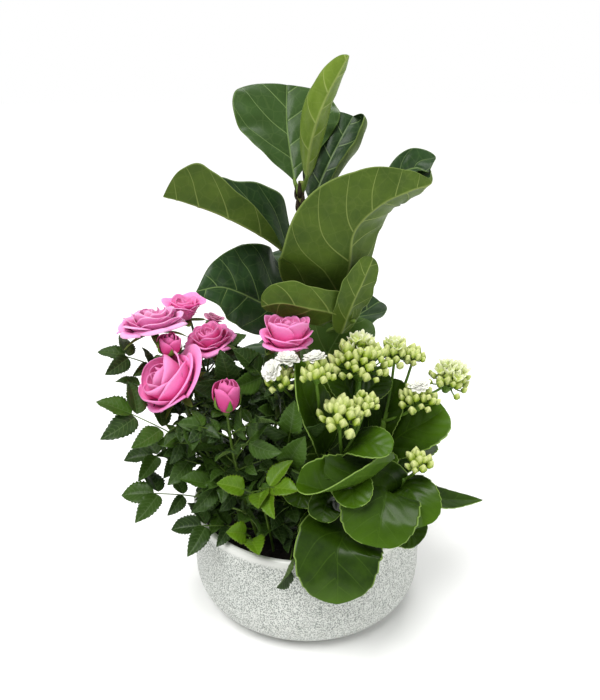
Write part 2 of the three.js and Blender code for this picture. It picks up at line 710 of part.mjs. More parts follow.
// Front right stem: the low leaves and the one that hangs over the lip
kalanchoeStem(5, [[60, -54, 64], [60, -54, 84], [66, -58, 116], [76, -62, 146]], 3.2, [
  { path: [[66, -58, 118], [52, -82, 140], [44, -102, 136], [37, -113, 122]], width: 44, face: [0, -0.7, 0.7], curl: 0.2 },
  { path: [[72, -60, 136], [78, -76, 144], [82, -90, 138], [85, -98, 124]], width: 42, face: [0.1, -0.7, 0.7], curl: 0.2 },
  { path: [[60, -54, 92], [36, -80, 112], [23, -104, 112], [22, -116, 91], [22, -119, 72]], width: 66, face: [0, -0.3, 1], faceTip: [0, -1, 0.2], fold: 0.1 },
  { path: [[72, -60, 128], [92, -46, 120], [118, -34, 108], [150, -24, 101]], width: 28, face: [0.1, -0.3, 0.9] },
], [
  [[76, -62, 144], [82, -68, 154], [84, -70, 160]],
]);

// A head: an upright dome of buds on short necks that leave one cone at the end of the stalk
function head(number, { at, axis = [0, -0.15, 1], radius, count, size = 3, colour = BUD_LIME, name = "kalanchoe_head_" }) {
  const foot = along(vec(at), vec(axis).normalize(), -radius * 0.4);
  const a = vec(axis).normalize();
  const x = new THREE.Vector3(0, 1, 0).cross(a).normalize();
  const y = a.clone().cross(x);
  const pieces = [bud(foot.toArray(), along(foot, a, radius * 0.75).toArray(), radius * 0.55, 1.3, 0.6, 5)];
  for (let i = 0; i < count; i++) {
    const out = Math.sqrt((i + 0.4) / count);
    const w = i * 2.4 + number;
    const u = x.clone().multiplyScalar(Math.cos(w)).addScaledVector(y, Math.sin(w));
    const high = radius * (1.25 - 0.85 * out * out + 0.3 * draw(i, number));
    const root = along(along(foot, u, out * radius * 0.34), a, radius * (0.5 - 0.12 * out));
    const tip = along(along(foot, u, out * radius * 0.95), a, high);
    pieces.push(bud(root.toArray(), tip.toArray(), size, 0.8, 0.62, 4));
  }
  node(name + number, colour, 0.5, pieces);
}

head(1, { at: [-20, -67, 230], radius: 16, count: 6, size: 3.4 });
head(2, { at: [5, -76, 240], radius: 15, count: 7, size: 3.6 });
head(3, { at: [39, -44, 233], radius: 27, count: 16, size: 5 });
head(4, { at: [68, -28, 236], radius: 16, count: 8, size: 3.8 });
head(5, { at: [83, -22, 231], radius: 12, count: 7, size: 3.2 });
head(6, { at: [113, -22, 210], radius: 20, count: 10, size: 4.2 });
head(7, { at: [86, -44, 204], radius: 18, count: 8, size: 4 });
head(8, { at: [23, -80, 207], radius: 19, count: 8, size: 4.4 });
head(9, { at: [42, -70, 212], radius: 13, count: 7, size: 3.4 });
head(10, { at: [84, -70, 163], radius: 14, count: 7, size: 3.6 });

// Open white florets stand over the buds of three heads
const OPEN = { name: "kalanchoe_florets_", colour: FLORET_WHITE };
head(1, { ...OPEN, at: [-21, -69, 246], axis: [-0.2, -0.4, 1], radius: 13, count: 5, size: 4 });
head(2, { ...OPEN, at: [4, -78, 254], axis: [0, -0.3, 1], radius: 12, count: 4, size: 4 });
head(3, { ...OPEN, at: [86, -46, 219], axis: [0.2, -0.4, 1], radius: 11, count: 4, size: 4 });

// ---------------------------------------------------------------- soil

node("soil", "#17140f", 0.95, [() => turned(soilProfile)]);

// ---------------------------------------------------------------- assembly

// Each piece gives way, by the clearance, to those before it, and keeps its main body. The
// soil comes last, so every stem stands in a plain hole of its own in it.
const object = new THREE.Group();

parts.forEach((part, i) => {
  let body = part.body;
  for (const before of parts.slice(0, i)) {
    const a = body.boundingBox();
    const b = before.wide.boundingBox();
    const apart = [0, 1, 2].some((k) => a.min[k] > b.max[k] || b.min[k] > a.max[k]);
    if (!apart && body.intersect(before.wide).volume() > 0) body = body.subtract(before.wide);
  }
  const bodies = body.simplify(SLIVER).decompose().sort((p, q) => q.volume() - p.volume());
  const mesh = new THREE.Mesh(
    geometryOf(bodies[0]),
    new THREE.MeshStandardMaterial({ color: part.colour, roughness: part.roughness, metalness: 0 }),
  );
  mesh.name = part.name;
  object.add(mesh);
});

export default object;
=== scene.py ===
"""A low white ceramic bowl planted with a fiddle-leaf fig, a miniature rose and a kalanchoe.

The shapes are worked out in millimetres in the frame of the CAD part (+Z up, the bowl's
underside at the origin) and are turned to metres when each mesh is made.
"""

import math

import bpy
import numpy as np
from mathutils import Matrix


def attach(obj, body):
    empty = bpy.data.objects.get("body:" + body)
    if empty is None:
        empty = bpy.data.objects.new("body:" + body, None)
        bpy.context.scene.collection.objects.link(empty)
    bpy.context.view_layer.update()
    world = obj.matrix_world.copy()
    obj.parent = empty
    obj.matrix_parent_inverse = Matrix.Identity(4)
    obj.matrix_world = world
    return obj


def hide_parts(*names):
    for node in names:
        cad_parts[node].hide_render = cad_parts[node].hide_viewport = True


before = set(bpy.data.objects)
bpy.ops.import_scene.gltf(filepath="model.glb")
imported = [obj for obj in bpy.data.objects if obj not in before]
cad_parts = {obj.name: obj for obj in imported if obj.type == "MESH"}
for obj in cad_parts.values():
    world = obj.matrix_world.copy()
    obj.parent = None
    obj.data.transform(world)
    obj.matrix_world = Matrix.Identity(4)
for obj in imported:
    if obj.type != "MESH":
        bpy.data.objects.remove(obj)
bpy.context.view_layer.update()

# ------------------------------------------------------------------ bowl
# One thrown and glazed stoneware bowl: a flat foot, a wide round shoulder and a soft smooth lip.
# The glaze is covered with short fine grey grooves, all over but on the lip.

MM = 0.001
BOWL_RADIUS = 100.0
BOWL_HEIGHT = 93.5
WALL = 5.5
FLOOR = 7.0
FOOT_FILLET = 33.0
FOOT_FLAT = 30.0
GROOVE_WIDTH = 0.935
GROOVE_DEPTH = 0.4
LIP_BAND = 9.0
LIP_FADE = 4.0
# Clouds of colour to a metre of glaze: one each 56 mm
GLAZE_CLOUDS = 18.0


def corners(a, b, c, d):
    """Four equal arrays of vertex numbers as rows of four corners."""
    return np.stack([a, b, c, d], -1).reshape(-1, 4)


def loft(rings, tags=None, slot=0):
    """Closed skin through rings of points: each ring joins the next, the columns wrap round,
    and the first and last rings shrink to their middle points."""
    rings = np.array(rings, float)
    rings[0] = rings[0].mean(0)
    rings[-1] = rings[-1].mean(0)
    rows, cols = rings.shape[:2]
    a = np.arange(rows * cols).reshape(rows, cols)
    a[0], a[-1] = a[0, 0], a[-1, 0]
    b = np.roll(a, -1, 1)
    faces = corners(a[:-1], b[:-1], b[1:], a[1:])
    return {
        "co": rings.reshape(-1, 3),
        "faces": faces,
        "slots": np.full(len(faces), slot),
        "tags": {name: np.broadcast_to(tag, (rows, cols)).ravel() for name, tag in (tags or {}).items()},
    }


def merge(skins):
    """One skin from many: each one's corner numbers are moved on by the vertices before it."""
    names = sorted({name for skin in skins for name in skin["tags"]})
    sizes = [len(skin["co"]) for skin in skins]
    starts = np.concatenate([[0], np.cumsum(sizes)[:-1]])
    return {
        "co": np.concatenate([skin["co"] for skin in skins]),
        "faces": np.concatenate([skin["faces"] + start for skin, start in zip(skins, starts)]),
        "slots": np.concatenate([skin["slots"] for skin in skins]),
        "tags": {
            name: np.concatenate([skin["tags"].get(name, np.zeros(n)) for skin, n in zip(skins, sizes)])
            for name in names
        },
    }


def piece(name, skins, finishes, node):
    """One object, in metres, from a list of skins. A corner equal to the one before it is
    dropped, so pinched rows become triangles, and vertices that no face uses are left out."""
    skin = merge(skins)
    faces = skin["faces"]
    keep = faces != np.roll(faces, 1, 1)
    solid = keep.sum(1) > 2
    faces, keep = faces[solid], keep[solid]
    loops = faces[keep]
    used = np.zeros(len(skin["co"]), bool)
    used[loops] = True
    number = np.cumsum(used) - 1
    starts = np.concatenate([[0], np.cumsum(keep.sum(1))[:-1]])
    mesh = bpy.data.meshes.new(name)
    mesh.vertices.add(int(used.sum()))
    mesh.vertices.foreach_set("co", (skin["co"][used] * MM).astype(np.float32).ravel())
    mesh.loops.add(len(loops))
    mesh.loops.foreach_set("vertex_index", number[loops].astype(np.int32))
    mesh.polygons.add(len(faces))
    mesh.polygons.foreach_set("loop_start", starts.astype(np.int32))
    mesh.polygons.foreach_set("material_index", skin["slots"][solid].astype(np.int32))
    mesh.update(calc_edges=True)
    mesh.validate()
    mesh.shade_smooth()
    for tag, values in skin["tags"].items():
        layer = mesh.attributes.new(tag, "FLOAT", "POINT")
        layer.data.foreach_set("value", values[used].astype(np.float32))
    for finish in finishes:
        mesh.materials.append(finish)
    made = bpy.data.objects.new(name, mesh)
    bpy.context.collection.objects.link(made)
    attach(made, "root")
    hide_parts(node)


def linear(colour):
    """An sRGB hex colour as linear red, green, blue and alpha."""
    c = np.array([int(colour[i : i + 2], 16) / 255 for i in (1, 3, 5)])
    c = np.where(c <= 0.04045, c / 12.92, ((c + 0.055) / 1.055) ** 2.4)
    return (*c.tolist(), 1.0)


def fit(tree, node, settings=None, links=None):
    """Sets a node's properties or input values, and links its inputs, each to a socket or to the
    first live output of a node."""
    for key, value in (settings or {}).items():
        if isinstance(key, str) and hasattr(node, key):
            setattr(node, key, value)
        else:
            node.inputs[key].default_value = value
    for key, source in (links or {}).items():
        if hasattr(source, "outputs"):
            source = next(socket for socket in source.outputs if socket.enabled)
        tree.links.new(source, node.inputs[key])
    return node


def add(tree, kind, settings=None, links=None):
    """Adds a shader node with its settings and links."""
    return fit(tree, tree.nodes.new("ShaderNode" + kind), settings, links)


def finish(name):
    """A new material: its tree, its shader and itself."""
    material = bpy.data.materials.new(name)
    material.use_nodes = True
    return material.node_tree, material.node_tree.nodes["Principled BSDF"], material


# A Mix node's two colour inputs
A, B = 6, 7

# Satin stoneware glaze: off-white and glassy enough for soft highlights, with duller grey grooves
# cut by a noise whose cell is as wide as a groove
tree, shader, glaze = finish("pebbled_white_glaze")
place = add(tree, "TexCoord").outputs["Object"]
height = add(tree, "SeparateXYZ", {}, {0: place}).outputs["Z"]
below_lip = add(
    tree, "MapRange",
    {"interpolation_type": "SMOOTHSTEP", "From Min": (BOWL_HEIGHT - LIP_BAND) * MM,
     "From Max": (BOWL_HEIGHT - LIP_FADE) * MM, "To Min": 1.0, "To Max": 0.0},
    {"Value": height},
)
grains = add(tree, "TexNoise", {"Scale": 1000 / GROOVE_WIDTH, "Detail": 0.0}, {"Vector": place})
groove = add(
    tree, "MapRange",
    {"interpolation_type": "SMOOTHSTEP", "From Min": 0.38, "From Max": 0.53, "To Min": 1.0, "To Max": 0.0},
    {"Value": grains},
)
mark = add(tree, "Math", {"operation": "MULTIPLY"}, {0: groove, 1: below_lip})
cloud = add(tree, "TexNoise", {"Scale": GLAZE_CLOUDS, "Detail": 3.0}, {"Vector": place})
body = add(tree, "Mix", {"data_type": "RGBA", A: linear("#dcddd7"), B: linear("#d3d7d2")}, {0: cloud})
ground = add(tree, "Mix", {"data_type": "RGBA", A: linear("#dedfda")}, {0: below_lip, B: body})
colour = add(tree, "Mix", {"data_type": "RGBA", B: linear("#8f958f")}, {0: mark, A: ground})
rough = add(tree, "MapRange", {"To Min": 0.32, "To Max": 0.8}, {"Value": mark})
bump = add(tree, "Bump", {"Strength": 0.8, "Distance": GROOVE_DEPTH * MM, "invert": True}, {"Height": mark})
fit(tree, shader, {"IOR": 1.5, "Coat Weight": 0.08, "Coat Roughness": 0.25},
    {"Base Color": colour, "Roughness": rough, "Normal": bump})


def arc(r, z, radius, start, end, count):
    """Points on an arc about (r, z) in the profile plane, from one angle to another."""
    w = np.linspace(start, end, count)
    return np.stack([r + radius * np.cos(w), z + radius * np.sin(w)], 1)


def turned(profile, count):
    """The profile's (radius, height) points swept about +Z in `count` columns."""
    w = np.linspace(0, 2 * np.pi, count, endpoint=False)
    r, z = np.asarray(profile).T
    return loft(np.stack([np.outer(r, np.cos(w)), np.outer(r, np.sin(w)), np.outer(z, np.ones(count))], -1))


lip = WALL / 2
inner = BOWL_RADIUS - WALL
inner_fillet = FOOT_FILLET - WALL
wall_heights = np.linspace(FOOT_FILLET, BOWL_HEIGHT - lip, 14)[1:-1]
bowl_profile = np.vstack([
    [[0, 0], [FOOT_FLAT, 0]],
    arc(BOWL_RADIUS - FOOT_FILLET, FOOT_FILLET, FOOT_FILLET, -np.pi / 2, 0, 20),
    np.stack([np.full(12, BOWL_RADIUS), wall_heights], 1),
    arc(BOWL_RADIUS - lip, BOWL_HEIGHT - lip, lip, 0, np.pi, 13),
    arc(inner - inner_fillet, FLOOR + inner_fillet, inner_fillet, 0, -np.pi / 2, 10),
    [[FOOT_FLAT, FLOOR], [0, FLOOR]],
])
piece("glazed_bowl", [turned(bowl_profile, 192)], [glaze], "bowl")

# ------------------------------------------------------------------ potting mix
# Dark moist peat with bits of bark and fibre, filled to about 12 mm below the lip. Its top is
# a low uneven mound; the crumbs are pushed up out of the mesh.

SOIL_TOP = 81.0
SOIL_EDGE = 78.0
SOIL_GAP = 0.5
CLOD, CLOD_RISE = 5.0, 1.3
CRUMB, CRUMB_RISE = 2.1, 0.8
# To a metre of mix: a chip each 2.4 mm and a fibre each 3.3 mm
CHIPS = 420.0
FIBRES = 300.0

# Moist peat mix: near black and dull, with a few light brown chips of bark
tree, shader, peat = finish("moist_peat_mix")
place = add(tree, "TexCoord").outputs["Object"]
cells = add(tree, "TexVoronoi", {"Scale": CHIPS}, {"Vector": place}).outputs["Color"]
fibre = add(tree, "TexNoise", {"Scale": FIBRES, "Detail": 6.0}, {"Vector": place})
body = add(tree, "Mix", {"data_type": "RGBA", A: linear("#070605"), B: linear("#1d1710")}, {0: fibre})
chip = add(tree, "MapRange", {"From Min": 0.86, "From Max": 0.95, "To Max": 0.5}, {"Value": cells})
colour = add(tree, "Mix", {"data_type": "RGBA", B: linear("#453525")}, {0: chip, A: body})
rough = add(tree, "MapRange", {"To Min": 0.75, "To Max": 0.98}, {"Value": fibre})
bump = add(tree, "Bump", {"Strength": 0.8, "Distance": 1.0 * MM}, {"Height": fibre})
fit(tree, shader, {"IOR": 1.4, "Specular IOR Level": 0.25},
    {"Base Color": colour, "Roughness": rough, "Normal": bump})


def lattice_noise(x, y, seed):
    """Smooth noise from -1 to 1: random values on a unit lattice, blended between its corners."""
    table = np.random.default_rng(seed).uniform(-1, 1, (64, 64))
    i, j = np.floor(x).astype(int), np.floor(y).astype(int)
    fx, fy = x - i, y - j
    fx, fy = fx * fx * (3 - 2 * fx), fy * fy * (3 - 2 * fy)
    low = table[i % 64, j % 64] * (1 - fx) + table[(i + 1) % 64, j % 64] * fx
    high = table[i % 64, (j + 1) % 64] * (1 - fx) + table[(i + 1) % 64, (j + 1) % 64] * fx
    return low * (1 - fy) + high * fy


mound = np.interp(np.linspace(inner, 0, 90), [0, inner * 0.4, inner], [SOIL_TOP, SOIL_TOP, SOIL_EDGE])
soil_profile = np.vstack([
    [[0, FLOOR + 1]],
    arc(inner - inner_fillet, FLOOR + inner_fillet, inner_fillet - SOIL_GAP, -np.pi / 2, 0, 6),
    np.stack([np.linspace(inner - SOIL_GAP, 0.5, 90), mound], 1),
    [[0, SOIL_TOP]],
])
soil = turned(soil_profile, 220)
x, y, z = soil["co"].T
crumbs = CLOD_RISE * lattice_noise(x / CLOD, y / CLOD, 1)
crumbs = crumbs + CRUMB_RISE * lattice_noise(x / CRUMB, y / CRUMB, 2)
soil["co"][:, 2] += np.where(z > SOIL_EDGE - 1, np.maximum(crumbs, -1.2) - 0.6, 0)
piece("potting_mix", [soil], [peat], "soil")

# ------------------------------------------------------------------ fig trunk
# The young fig stands on one thin green-brown trunk, ringed where old leaves have dropped, with
# a few dry brown sheaths round the growing tip. It is rooted in the mix at the back.

TRUNK = [[-4, 26, 34], [-4, 26, 90], [-6, 28, 180], [-7, 29, 270], [-6, 29, 330], [-5, 28, 362]]
TRUNK_FOOT, TRUNK_TIP = 5.0, 2.6
SHEATH_LENGTH, SHEATH_WIDTH = 16, 7
BARK_FLECK = 2.0
BARK_RELIEF = 0.6
# Grains of colour to a metre of sheath: one each 2.9 mm
HUSK_GRAINS = 350.0


def unit(a):
    """Vectors at length 1."""
    return a / np.maximum(np.linalg.norm(a, axis=-1, keepdims=True), 1e-9)


def curve(points, s):
    """Catmull-Rom curve through the points at the parameters s: each stretch is the cubic set
    by the four points round it, and past both ends the curve runs on straight."""
    points = np.asarray(points, float)
    s = np.asarray(s, float)
    last = len(points) - 1
    p = np.vstack([2 * points[0] - points[1], points, 2 * points[-1] - points[-2]])
    x = np.clip(s, 0, 1) * last
    i = np.minimum(x.astype(int), last - 1)
    t = (x - i)[..., None]
    a, b, c, d = p[i], p[i + 1], p[i + 2], p[i + 3]
    out = 0.5 * (2 * b + (c - a) * t + (2 * a - 5 * b + 4 * c - d) * t**2 + (3 * b - a - 3 * c + d) * t**3)
    out = out + (np.minimum(s, 0) * last)[..., None] * (points[1] - points[0])
    return out + (np.maximum(s - 1, 0) * last)[..., None] * (points[-1] - points[-2])


def tube(path, r0, r1, rows, sides, swell=None, slot=0):
    """A round stalk: circles square to the path, their radius going from r0 to r1, times
    swell(u) where given, with both ends closed."""
    u = np.concatenate([[0], np.linspace(0, 1, rows), [1]])
    p = curve(path, u)
    t = unit(curve(path, u + 0.004) - curve(path, u - 0.004))
    whole = unit(np.asarray(path[-1], float) - path[0])
    ref = np.eye(3)[np.argmin(np.abs(whole))]
    x = unit(np.cross(ref, t))
    y = np.cross(t, x)
    r = (r0 + (r1 - r0) * u) * (swell(u) if swell else 1)
    w = np.linspace(0, 2 * np.pi, sides, endpoint=False)
    ring = x[:, None] * np.cos(w)[:, None] + y[:, None] * np.sin(w)[:, None]
    return loft(p[:, None] + ring * r[:, None, None], {"along": u[:, None]}, slot)


# Young fig bark: green-brown below and greener above, matt, with darker corky flecks
tree, shader, bark = finish("green_fig_bark")
place = add(tree, "TexCoord").outputs["Object"]
upright = add(tree, "Mapping", {"Scale": (1.0, 1.0, 0.35)}, {"Vector": place})
flecks = add(tree, "TexNoise", {"Scale": 1000 / BARK_FLECK, "Detail": 5.0}, {"Vector": upright})
height = add(tree, "SeparateXYZ", {}, {0: place}).outputs["Z"]
young = add(tree, "MapRange", {"From Min": 180 * MM, "From Max": 340 * MM}, {"Value": height})
body = add(tree, "Mix", {"data_type": "RGBA", A: linear("#54472f"), B: linear("#86904a")}, {0: young})
fleck = add(tree, "MapRange", {"From Min": 0.5, "From Max": 0.72, "To Max": 0.7}, {"Value": flecks})
colour = add(tree, "Mix", {"data_type": "RGBA", B: linear("#3a2b1c")}, {0: fleck, A: body})
rough = add(tree, "MapRange", {"To Min": 0.55, "To Max": 0.85}, {"Value": flecks})
bump = add(tree, "Bump", {"Strength": 0.6, "Distance": BARK_RELIEF * MM}, {"Height": flecks})
fit(tree, shader, {"IOR": 1.45, "Specular IOR Level": 0.35},
    {"Base Color": colour, "Roughness": rough, "Normal": bump})

# Dry stipule: papery, dull and dark brown
tree, shader, husk = finish("dry_brown_sheath")
place = add(tree, "TexCoord").outputs["Object"]
grain = add(tree, "TexNoise", {"Scale": HUSK_GRAINS, "Detail": 4.0}, {"Vector": place})
colour = add(tree, "Mix", {"data_type": "RGBA", A: linear("#1a160f"), B: linear("#463c2a")}, {0: grain})
rough = add(tree, "MapRange", {"To Min": 0.6, "To Max": 0.95}, {"Value": grain})
fit(tree, shader, {"IOR": 1.4, "Specular IOR Level": 0.3}, {"Base Color": colour, "Roughness": rough})


def scars(u):
    """Swellings at the old leaf scars: a narrow bump every eleventh of the trunk."""
    return 1 + 0.16 * np.exp(-(((u * 11) % 1 - 0.5) / 0.13) ** 2) + 0.03 * np.sin(u * 71)


def halves(value):
    """Two numbers, one for each half or each end of a blade, from a number or a pair."""
    return np.broadcast_to(np.asarray(value, float), (2,))


def shell(front, back, tags, slots=(0, 0, 0), pinched=False):
    """A thin closed skin between two grids of points, with strips of faces round its rim. A
    pinched one shrinks to a point at its first and last row. Slots: front, back and rim."""
    rows, cols = front.shape[:2]
    first = np.arange(rows * cols).reshape(rows, cols)
    if pinched:
        first[0], first[-1] = first[0, cols // 2], first[-1, cols // 2]
    second = first + first.size
    faces = [
        corners(first[:-1, :-1], first[1:, :-1], first[1:, 1:], first[:-1, 1:]),
        corners(second[:-1, :-1], second[:-1, 1:], second[1:, 1:], second[1:, :-1]),
        corners(first[1:, 0], first[:-1, 0], second[:-1, 0], second[1:, 0]),
        corners(first[:-1, -1], first[1:, -1], second[1:, -1], second[:-1, -1]),
        corners(first[0, :-1], first[0, 1:], second[0, 1:], second[0, :-1]),
        corners(first[-1, 1:], first[-1, :-1], second[-1, :-1], second[-1, 1:]),
    ]
    return {
        "co": np.concatenate([front.reshape(-1, 3), back.reshape(-1, 3)]),
        "faces": np.concatenate(faces),
        "slots": np.repeat([slots[0], slots[1]] + [slots[2]] * 4, [len(f) for f in faces]),
        "tags": {name: np.tile(tag.ravel(), 2) for name, tag in tags.items()},
    }


def blade(path, width, face, face_tip=None, fold=0.1, fold_tip=None, curl=0.0, curl_tip=None,
          outline=(0.6, 0.75), wave=0.0, waves=2.0, phase=0.0, rows=60, cols=28, teeth=0, tooth=0.0,
          pairs=6, slant=0.7, puff=0.0, groove=0.0, thickness=0.5, tint=0.0, slots=(1, 0, 0), seed=0):
    """A leaf or petal as a thin closed skin. Rows follow the midrib `path`. Across a row each
    half leaves the midrib at the angle `fold` towards the upper side `face` and bends on by
    `curl`; its width is s^a (1 - s)^b, scaled to a peak of 1, cut by `teeth`, and its margin
    rises and falls by `wave`. Side veins leave the midrib at the slope `slant`; the skin puffs
    up between them and sinks along them. Tags: along, side (mm from the midrib), edge (0 to 1),
    rib (whole numbers on a side vein) and tint, one number or those of the foot and the tip."""
    path = np.asarray(path, float)
    face = np.asarray(face, float)
    face_tip = face if face_tip is None else np.asarray(face_tip, float)
    f0, c0, half_width = halves(fold), halves(curl), halves(width) / 2
    tint_foot, tint_tip = halves(tint)
    f1 = f0 if fold_tip is None else halves(fold_tip)
    c1 = c0 if curl_tip is None else halves(curl_tip)
    a, b = np.broadcast_to(np.asarray(outline, float), (2, 2)).T
    peak = a / (a + b)
    steps = np.linspace(0, 1, rows + 1)
    u = (steps if teeth else 0.5 - 0.5 * np.cos(np.pi * steps))[:, None]
    v = np.linspace(-1, 1, cols + 1)[None, :]
    q = np.abs(v)
    k = (v[0] > 0).astype(int)
    length = np.linalg.norm(np.diff(path, axis=0), axis=1).sum()
    shift, start = np.random.default_rng(seed).uniform(0, 1, 2)

    p = curve(path, u[:, 0])
    t = unit(curve(path, u[:, 0] + 0.004) - curve(path, u[:, 0] - 0.004))
    n = face + (face_tip - face) * u
    across = unit(np.cross(t, n))
    n = np.cross(across, t)

    bell = u ** a[k] * (1 - u) ** b[k] / (peak[k] ** a[k] * (1 - peak[k]) ** b[k])
    notch = 1 + tooth * ((u * teeth) % 1 - 0.4) * np.minimum(1, 4 * u) if teeth else 1.0
    half = half_width[k] * bell * (1 + (notch - 1) * q**3)
    turn = (c0[k] + (c1 - c0)[k] * u**2) * q * 0.5
    lean = f0[k] + (f1 - f0)[k] * u**2 + turn
    reach = half * q * np.sinc(turn / np.pi)
    ripple = wave * half * q**2 * (
        np.sin(2 * np.pi * (waves * u + phase + 0.25 * k))
        + 0.4 * np.sin(2 * np.pi * (2.3 * waves * u + shift + 0.4 * k))
    )
    grid = p[:, None] + across[:, None] * (reach * np.cos(lean) * np.sign(v))[..., None]
    grid = grid + n[:, None] * (reach * np.sin(lean) + ripple)[..., None]

    x = half * q
    spacing = length / (pairs + 0.5)
    rib = (u * length - slant * x - 0.35 * slant * x**2 / half_width[k]) / spacing + 0.5 * k + start
    near = np.abs(rib - np.round(rib)) * spacing * 0.8
    bulge = puff * (0.5 - 0.5 * np.cos(2 * np.pi * rib)) * np.minimum(1, x / 6) * (1 - q**4)
    sink = groove * (np.exp(-((near / 1.1) ** 2)) * (1 - q**2) + 1.5 * np.exp(-((x / 1.5) ** 2)))
    relief = (bulge - sink) * np.sin(np.pi * np.clip(u, 0, 1)) ** 0.3

    out = unit(np.cross(np.gradient(grid, axis=0), np.gradient(grid, axis=1)))
    out[0], out[-1] = out[1, cols // 2], out[-2, cols // 2]
    skin = grid - out * relief[..., None]
    lift = out * (thickness / 2 * (1 - 0.5 * q**4))[..., None]
    tags = {
        "along": u + 0 * v,
        "side": x * np.sign(v),
        "edge": q + 0 * u,
        "rib": rib,
        "tint": tint_foot + (tint_tip - tint_foot) * u + 0 * v,
    }
    return shell(skin + lift, skin - lift, tags, slots, pinched=True)


def sheath(z, w):
    """A dry sheath that leaves the trunk at the height z towards the angle w and closes in again."""
    x, y = math.cos(w), math.sin(w)
    path = [[-6, 27, z], [-6 + 5 * x, 28 + 5 * y, z + 7], [-6 + 4 * x, 28 + 4 * y, z + SHEATH_LENGTH]]
    return blade(path, SHEATH_WIDTH, [-x, -y, 0.1], curl=1.6, outline=(0.35, 0.8), rows=14, cols=8,
                 slots=(1, 1, 1))


sheaths = [sheath(z, w) for z, w in [(334, -2.2), (339, -0.9), (343, 2.6), (347, -1.7), (350, 0.4)]]
trunk = tube(TRUNK, TRUNK_FOOT, TRUNK_TIP, 150, 20, scars)
piece("fig_trunk_bark", [trunk, *sheaths], [bark, husk], "fig_trunk")

# ------------------------------------------------------------------ fig leaves
# Big leathery leaves with a waved margin and sunken pale veins, glossy dark green above and a
# dull lighter green below. Each one's stalk is fixed to the trunk; the tip leaf is still rolled.

FIDDLE = (0.72, 0.36)
FIG_SPACING = 23.0
# To a metre of leaf: a cloud each 22 mm, a grain each 1.1 mm. The net has 2.4 cells to a vein spacing
LEAF_CLOUDS = 45.0
LEAF_GRAINS = 900.0
NET_CELLS = 2.4


def leaf_finish(name, deep, light, vein, margin, rib_width, vein_width, spacing, strength,
                roughness, coat, fresh=None, specular=0.2, relief=0.4):
    """A living leaf's skin. Object noise clouds it from the deep to the light green, the tint
    tag moves it towards the fresh green, pale veins lie where the side and rib tags say, a thin
    net joins them, and the margin has its own colour. On the roses the fresh green is the leaves'
    own tone; on the kalanchoe leaves and the top fig leaf it is painted light, and the plain deep
    green left at a kalanchoe leaf's foot is painted shade. Vein widths and relief are millimetres."""
    tree, shader, material = finish(name)
    at = add(tree, "TexCoord").outputs["Object"]
    side, rib, edge, along, tint = [
        add(tree, "Attribute", {"attribute_name": tag}).outputs["Fac"]
        for tag in ("side", "rib", "edge", "along", "tint")
    ]
    cloud = add(
        tree, "TexNoise", {"Scale": LEAF_CLOUDS, "Detail": 4.0, "Roughness": 0.6}, {"Vector": at},
    )
    mottle = add(tree, "MapRange", {"From Min": 0.3, "From Max": 0.7}, {"Value": cloud})
    # Distance to the nearest side vein: from the rib tag to its nearest whole number, in mm
    near = rib
    for step, value in (("ADD", 0.5), ("FRACT", 0), ("SUBTRACT", 0.5), ("ABSOLUTE", 0),
                        ("MULTIPLY", spacing * 0.8)):
        near = add(tree, "Math", {"operation": step, 1: value}, {0: near})
    taper = add(tree, "MapRange", {"To Min": vein_width, "To Max": vein_width * 0.3}, {"Value": edge})
    line = {"interpolation_type": "SMOOTHSTEP", "From Min": 0.0, "To Min": 1.0, "To Max": 0.0}
    side_vein = add(tree, "MapRange", line, {"Value": near, "From Max": taper})
    from_rib = add(tree, "Math", {"operation": "ABSOLUTE"}, {0: side})
    rib_taper = add(tree, "MapRange", {"To Min": rib_width, "To Max": rib_width * 0.35}, {"Value": along})
    midrib = add(tree, "MapRange", line, {"Value": from_rib, "From Max": rib_taper})
    net = add(
        tree, "TexVoronoi", {"feature": "DISTANCE_TO_EDGE", "Scale": 1000 * NET_CELLS / spacing},
        {"Vector": at},
    )
    net_vein = add(
        tree, "MapRange", {"From Min": 0.0, "From Max": 0.06, "To Min": 0.12, "To Max": 0.0}, {"Value": net},
    )
    most = add(tree, "Math", {"operation": "MAXIMUM"}, {0: side_vein, 1: midrib})
    veins = add(tree, "Math", {"operation": "MAXIMUM"}, {0: most, 1: net_vein})
    amount = add(tree, "Math", {"operation": "MULTIPLY", 1: strength}, {0: veins})
    rim = add(
        tree, "MapRange",
        {"interpolation_type": "SMOOTHSTEP", "From Min": 0.955, "From Max": 0.995, "To Max": 0.75},
        {"Value": edge},
    )
    colour = add(tree, "Mix", {"data_type": "RGBA", A: linear(deep), B: linear(light)}, {0: mottle})
    for share, layer in ((tint, fresh or light), (amount, vein), (rim, margin)):
        colour = add(tree, "Mix", {"data_type": "RGBA", B: linear(layer)}, {0: share, A: colour})
    grain = add(tree, "TexNoise", {"Scale": LEAF_GRAINS, "Detail": 2.0}, {"Vector": at})
    rough = add(tree, "MapRange", {"To Min": roughness - 0.08, "To Max": roughness + 0.12}, {"Value": grain})
    raised = add(tree, "Math", {"operation": "MULTIPLY_ADD", 1: 0.25}, {0: grain, 2: amount})
    bump = add(tree, "Bump", {"Strength": 0.5, "Distance": relief * MM}, {"Height": raised})
    fit(tree, shader,
        {"IOR": 1.45, "Coat Weight": coat, "Coat Roughness": 0.25, "Specular IOR Level": specular},
        {"Base Color": colour, "Roughness": rough, "Normal": bump})
    return material


# Mature fig leaf: waxy, dark and softly glossy above with pale sunken veins; dull olive below
fig_upper = leaf_finish("waxy_fig_leaf_upper", "#1a2f14", "#2d4822", "#86a05e", "#5d7838", 1.5, 0.75,
                        FIG_SPACING, 0.6, 0.36, 0.1, "#4c6a2a", 0.16)
fig_under = leaf_finish("dull_fig_leaf_under", "#3a5016", "#51671f", "#8c9a52", "#7f924a", 1.8, 0.85,
                        FIG_SPACING, 0.65, 0.5, 0.0, "#6e6424")
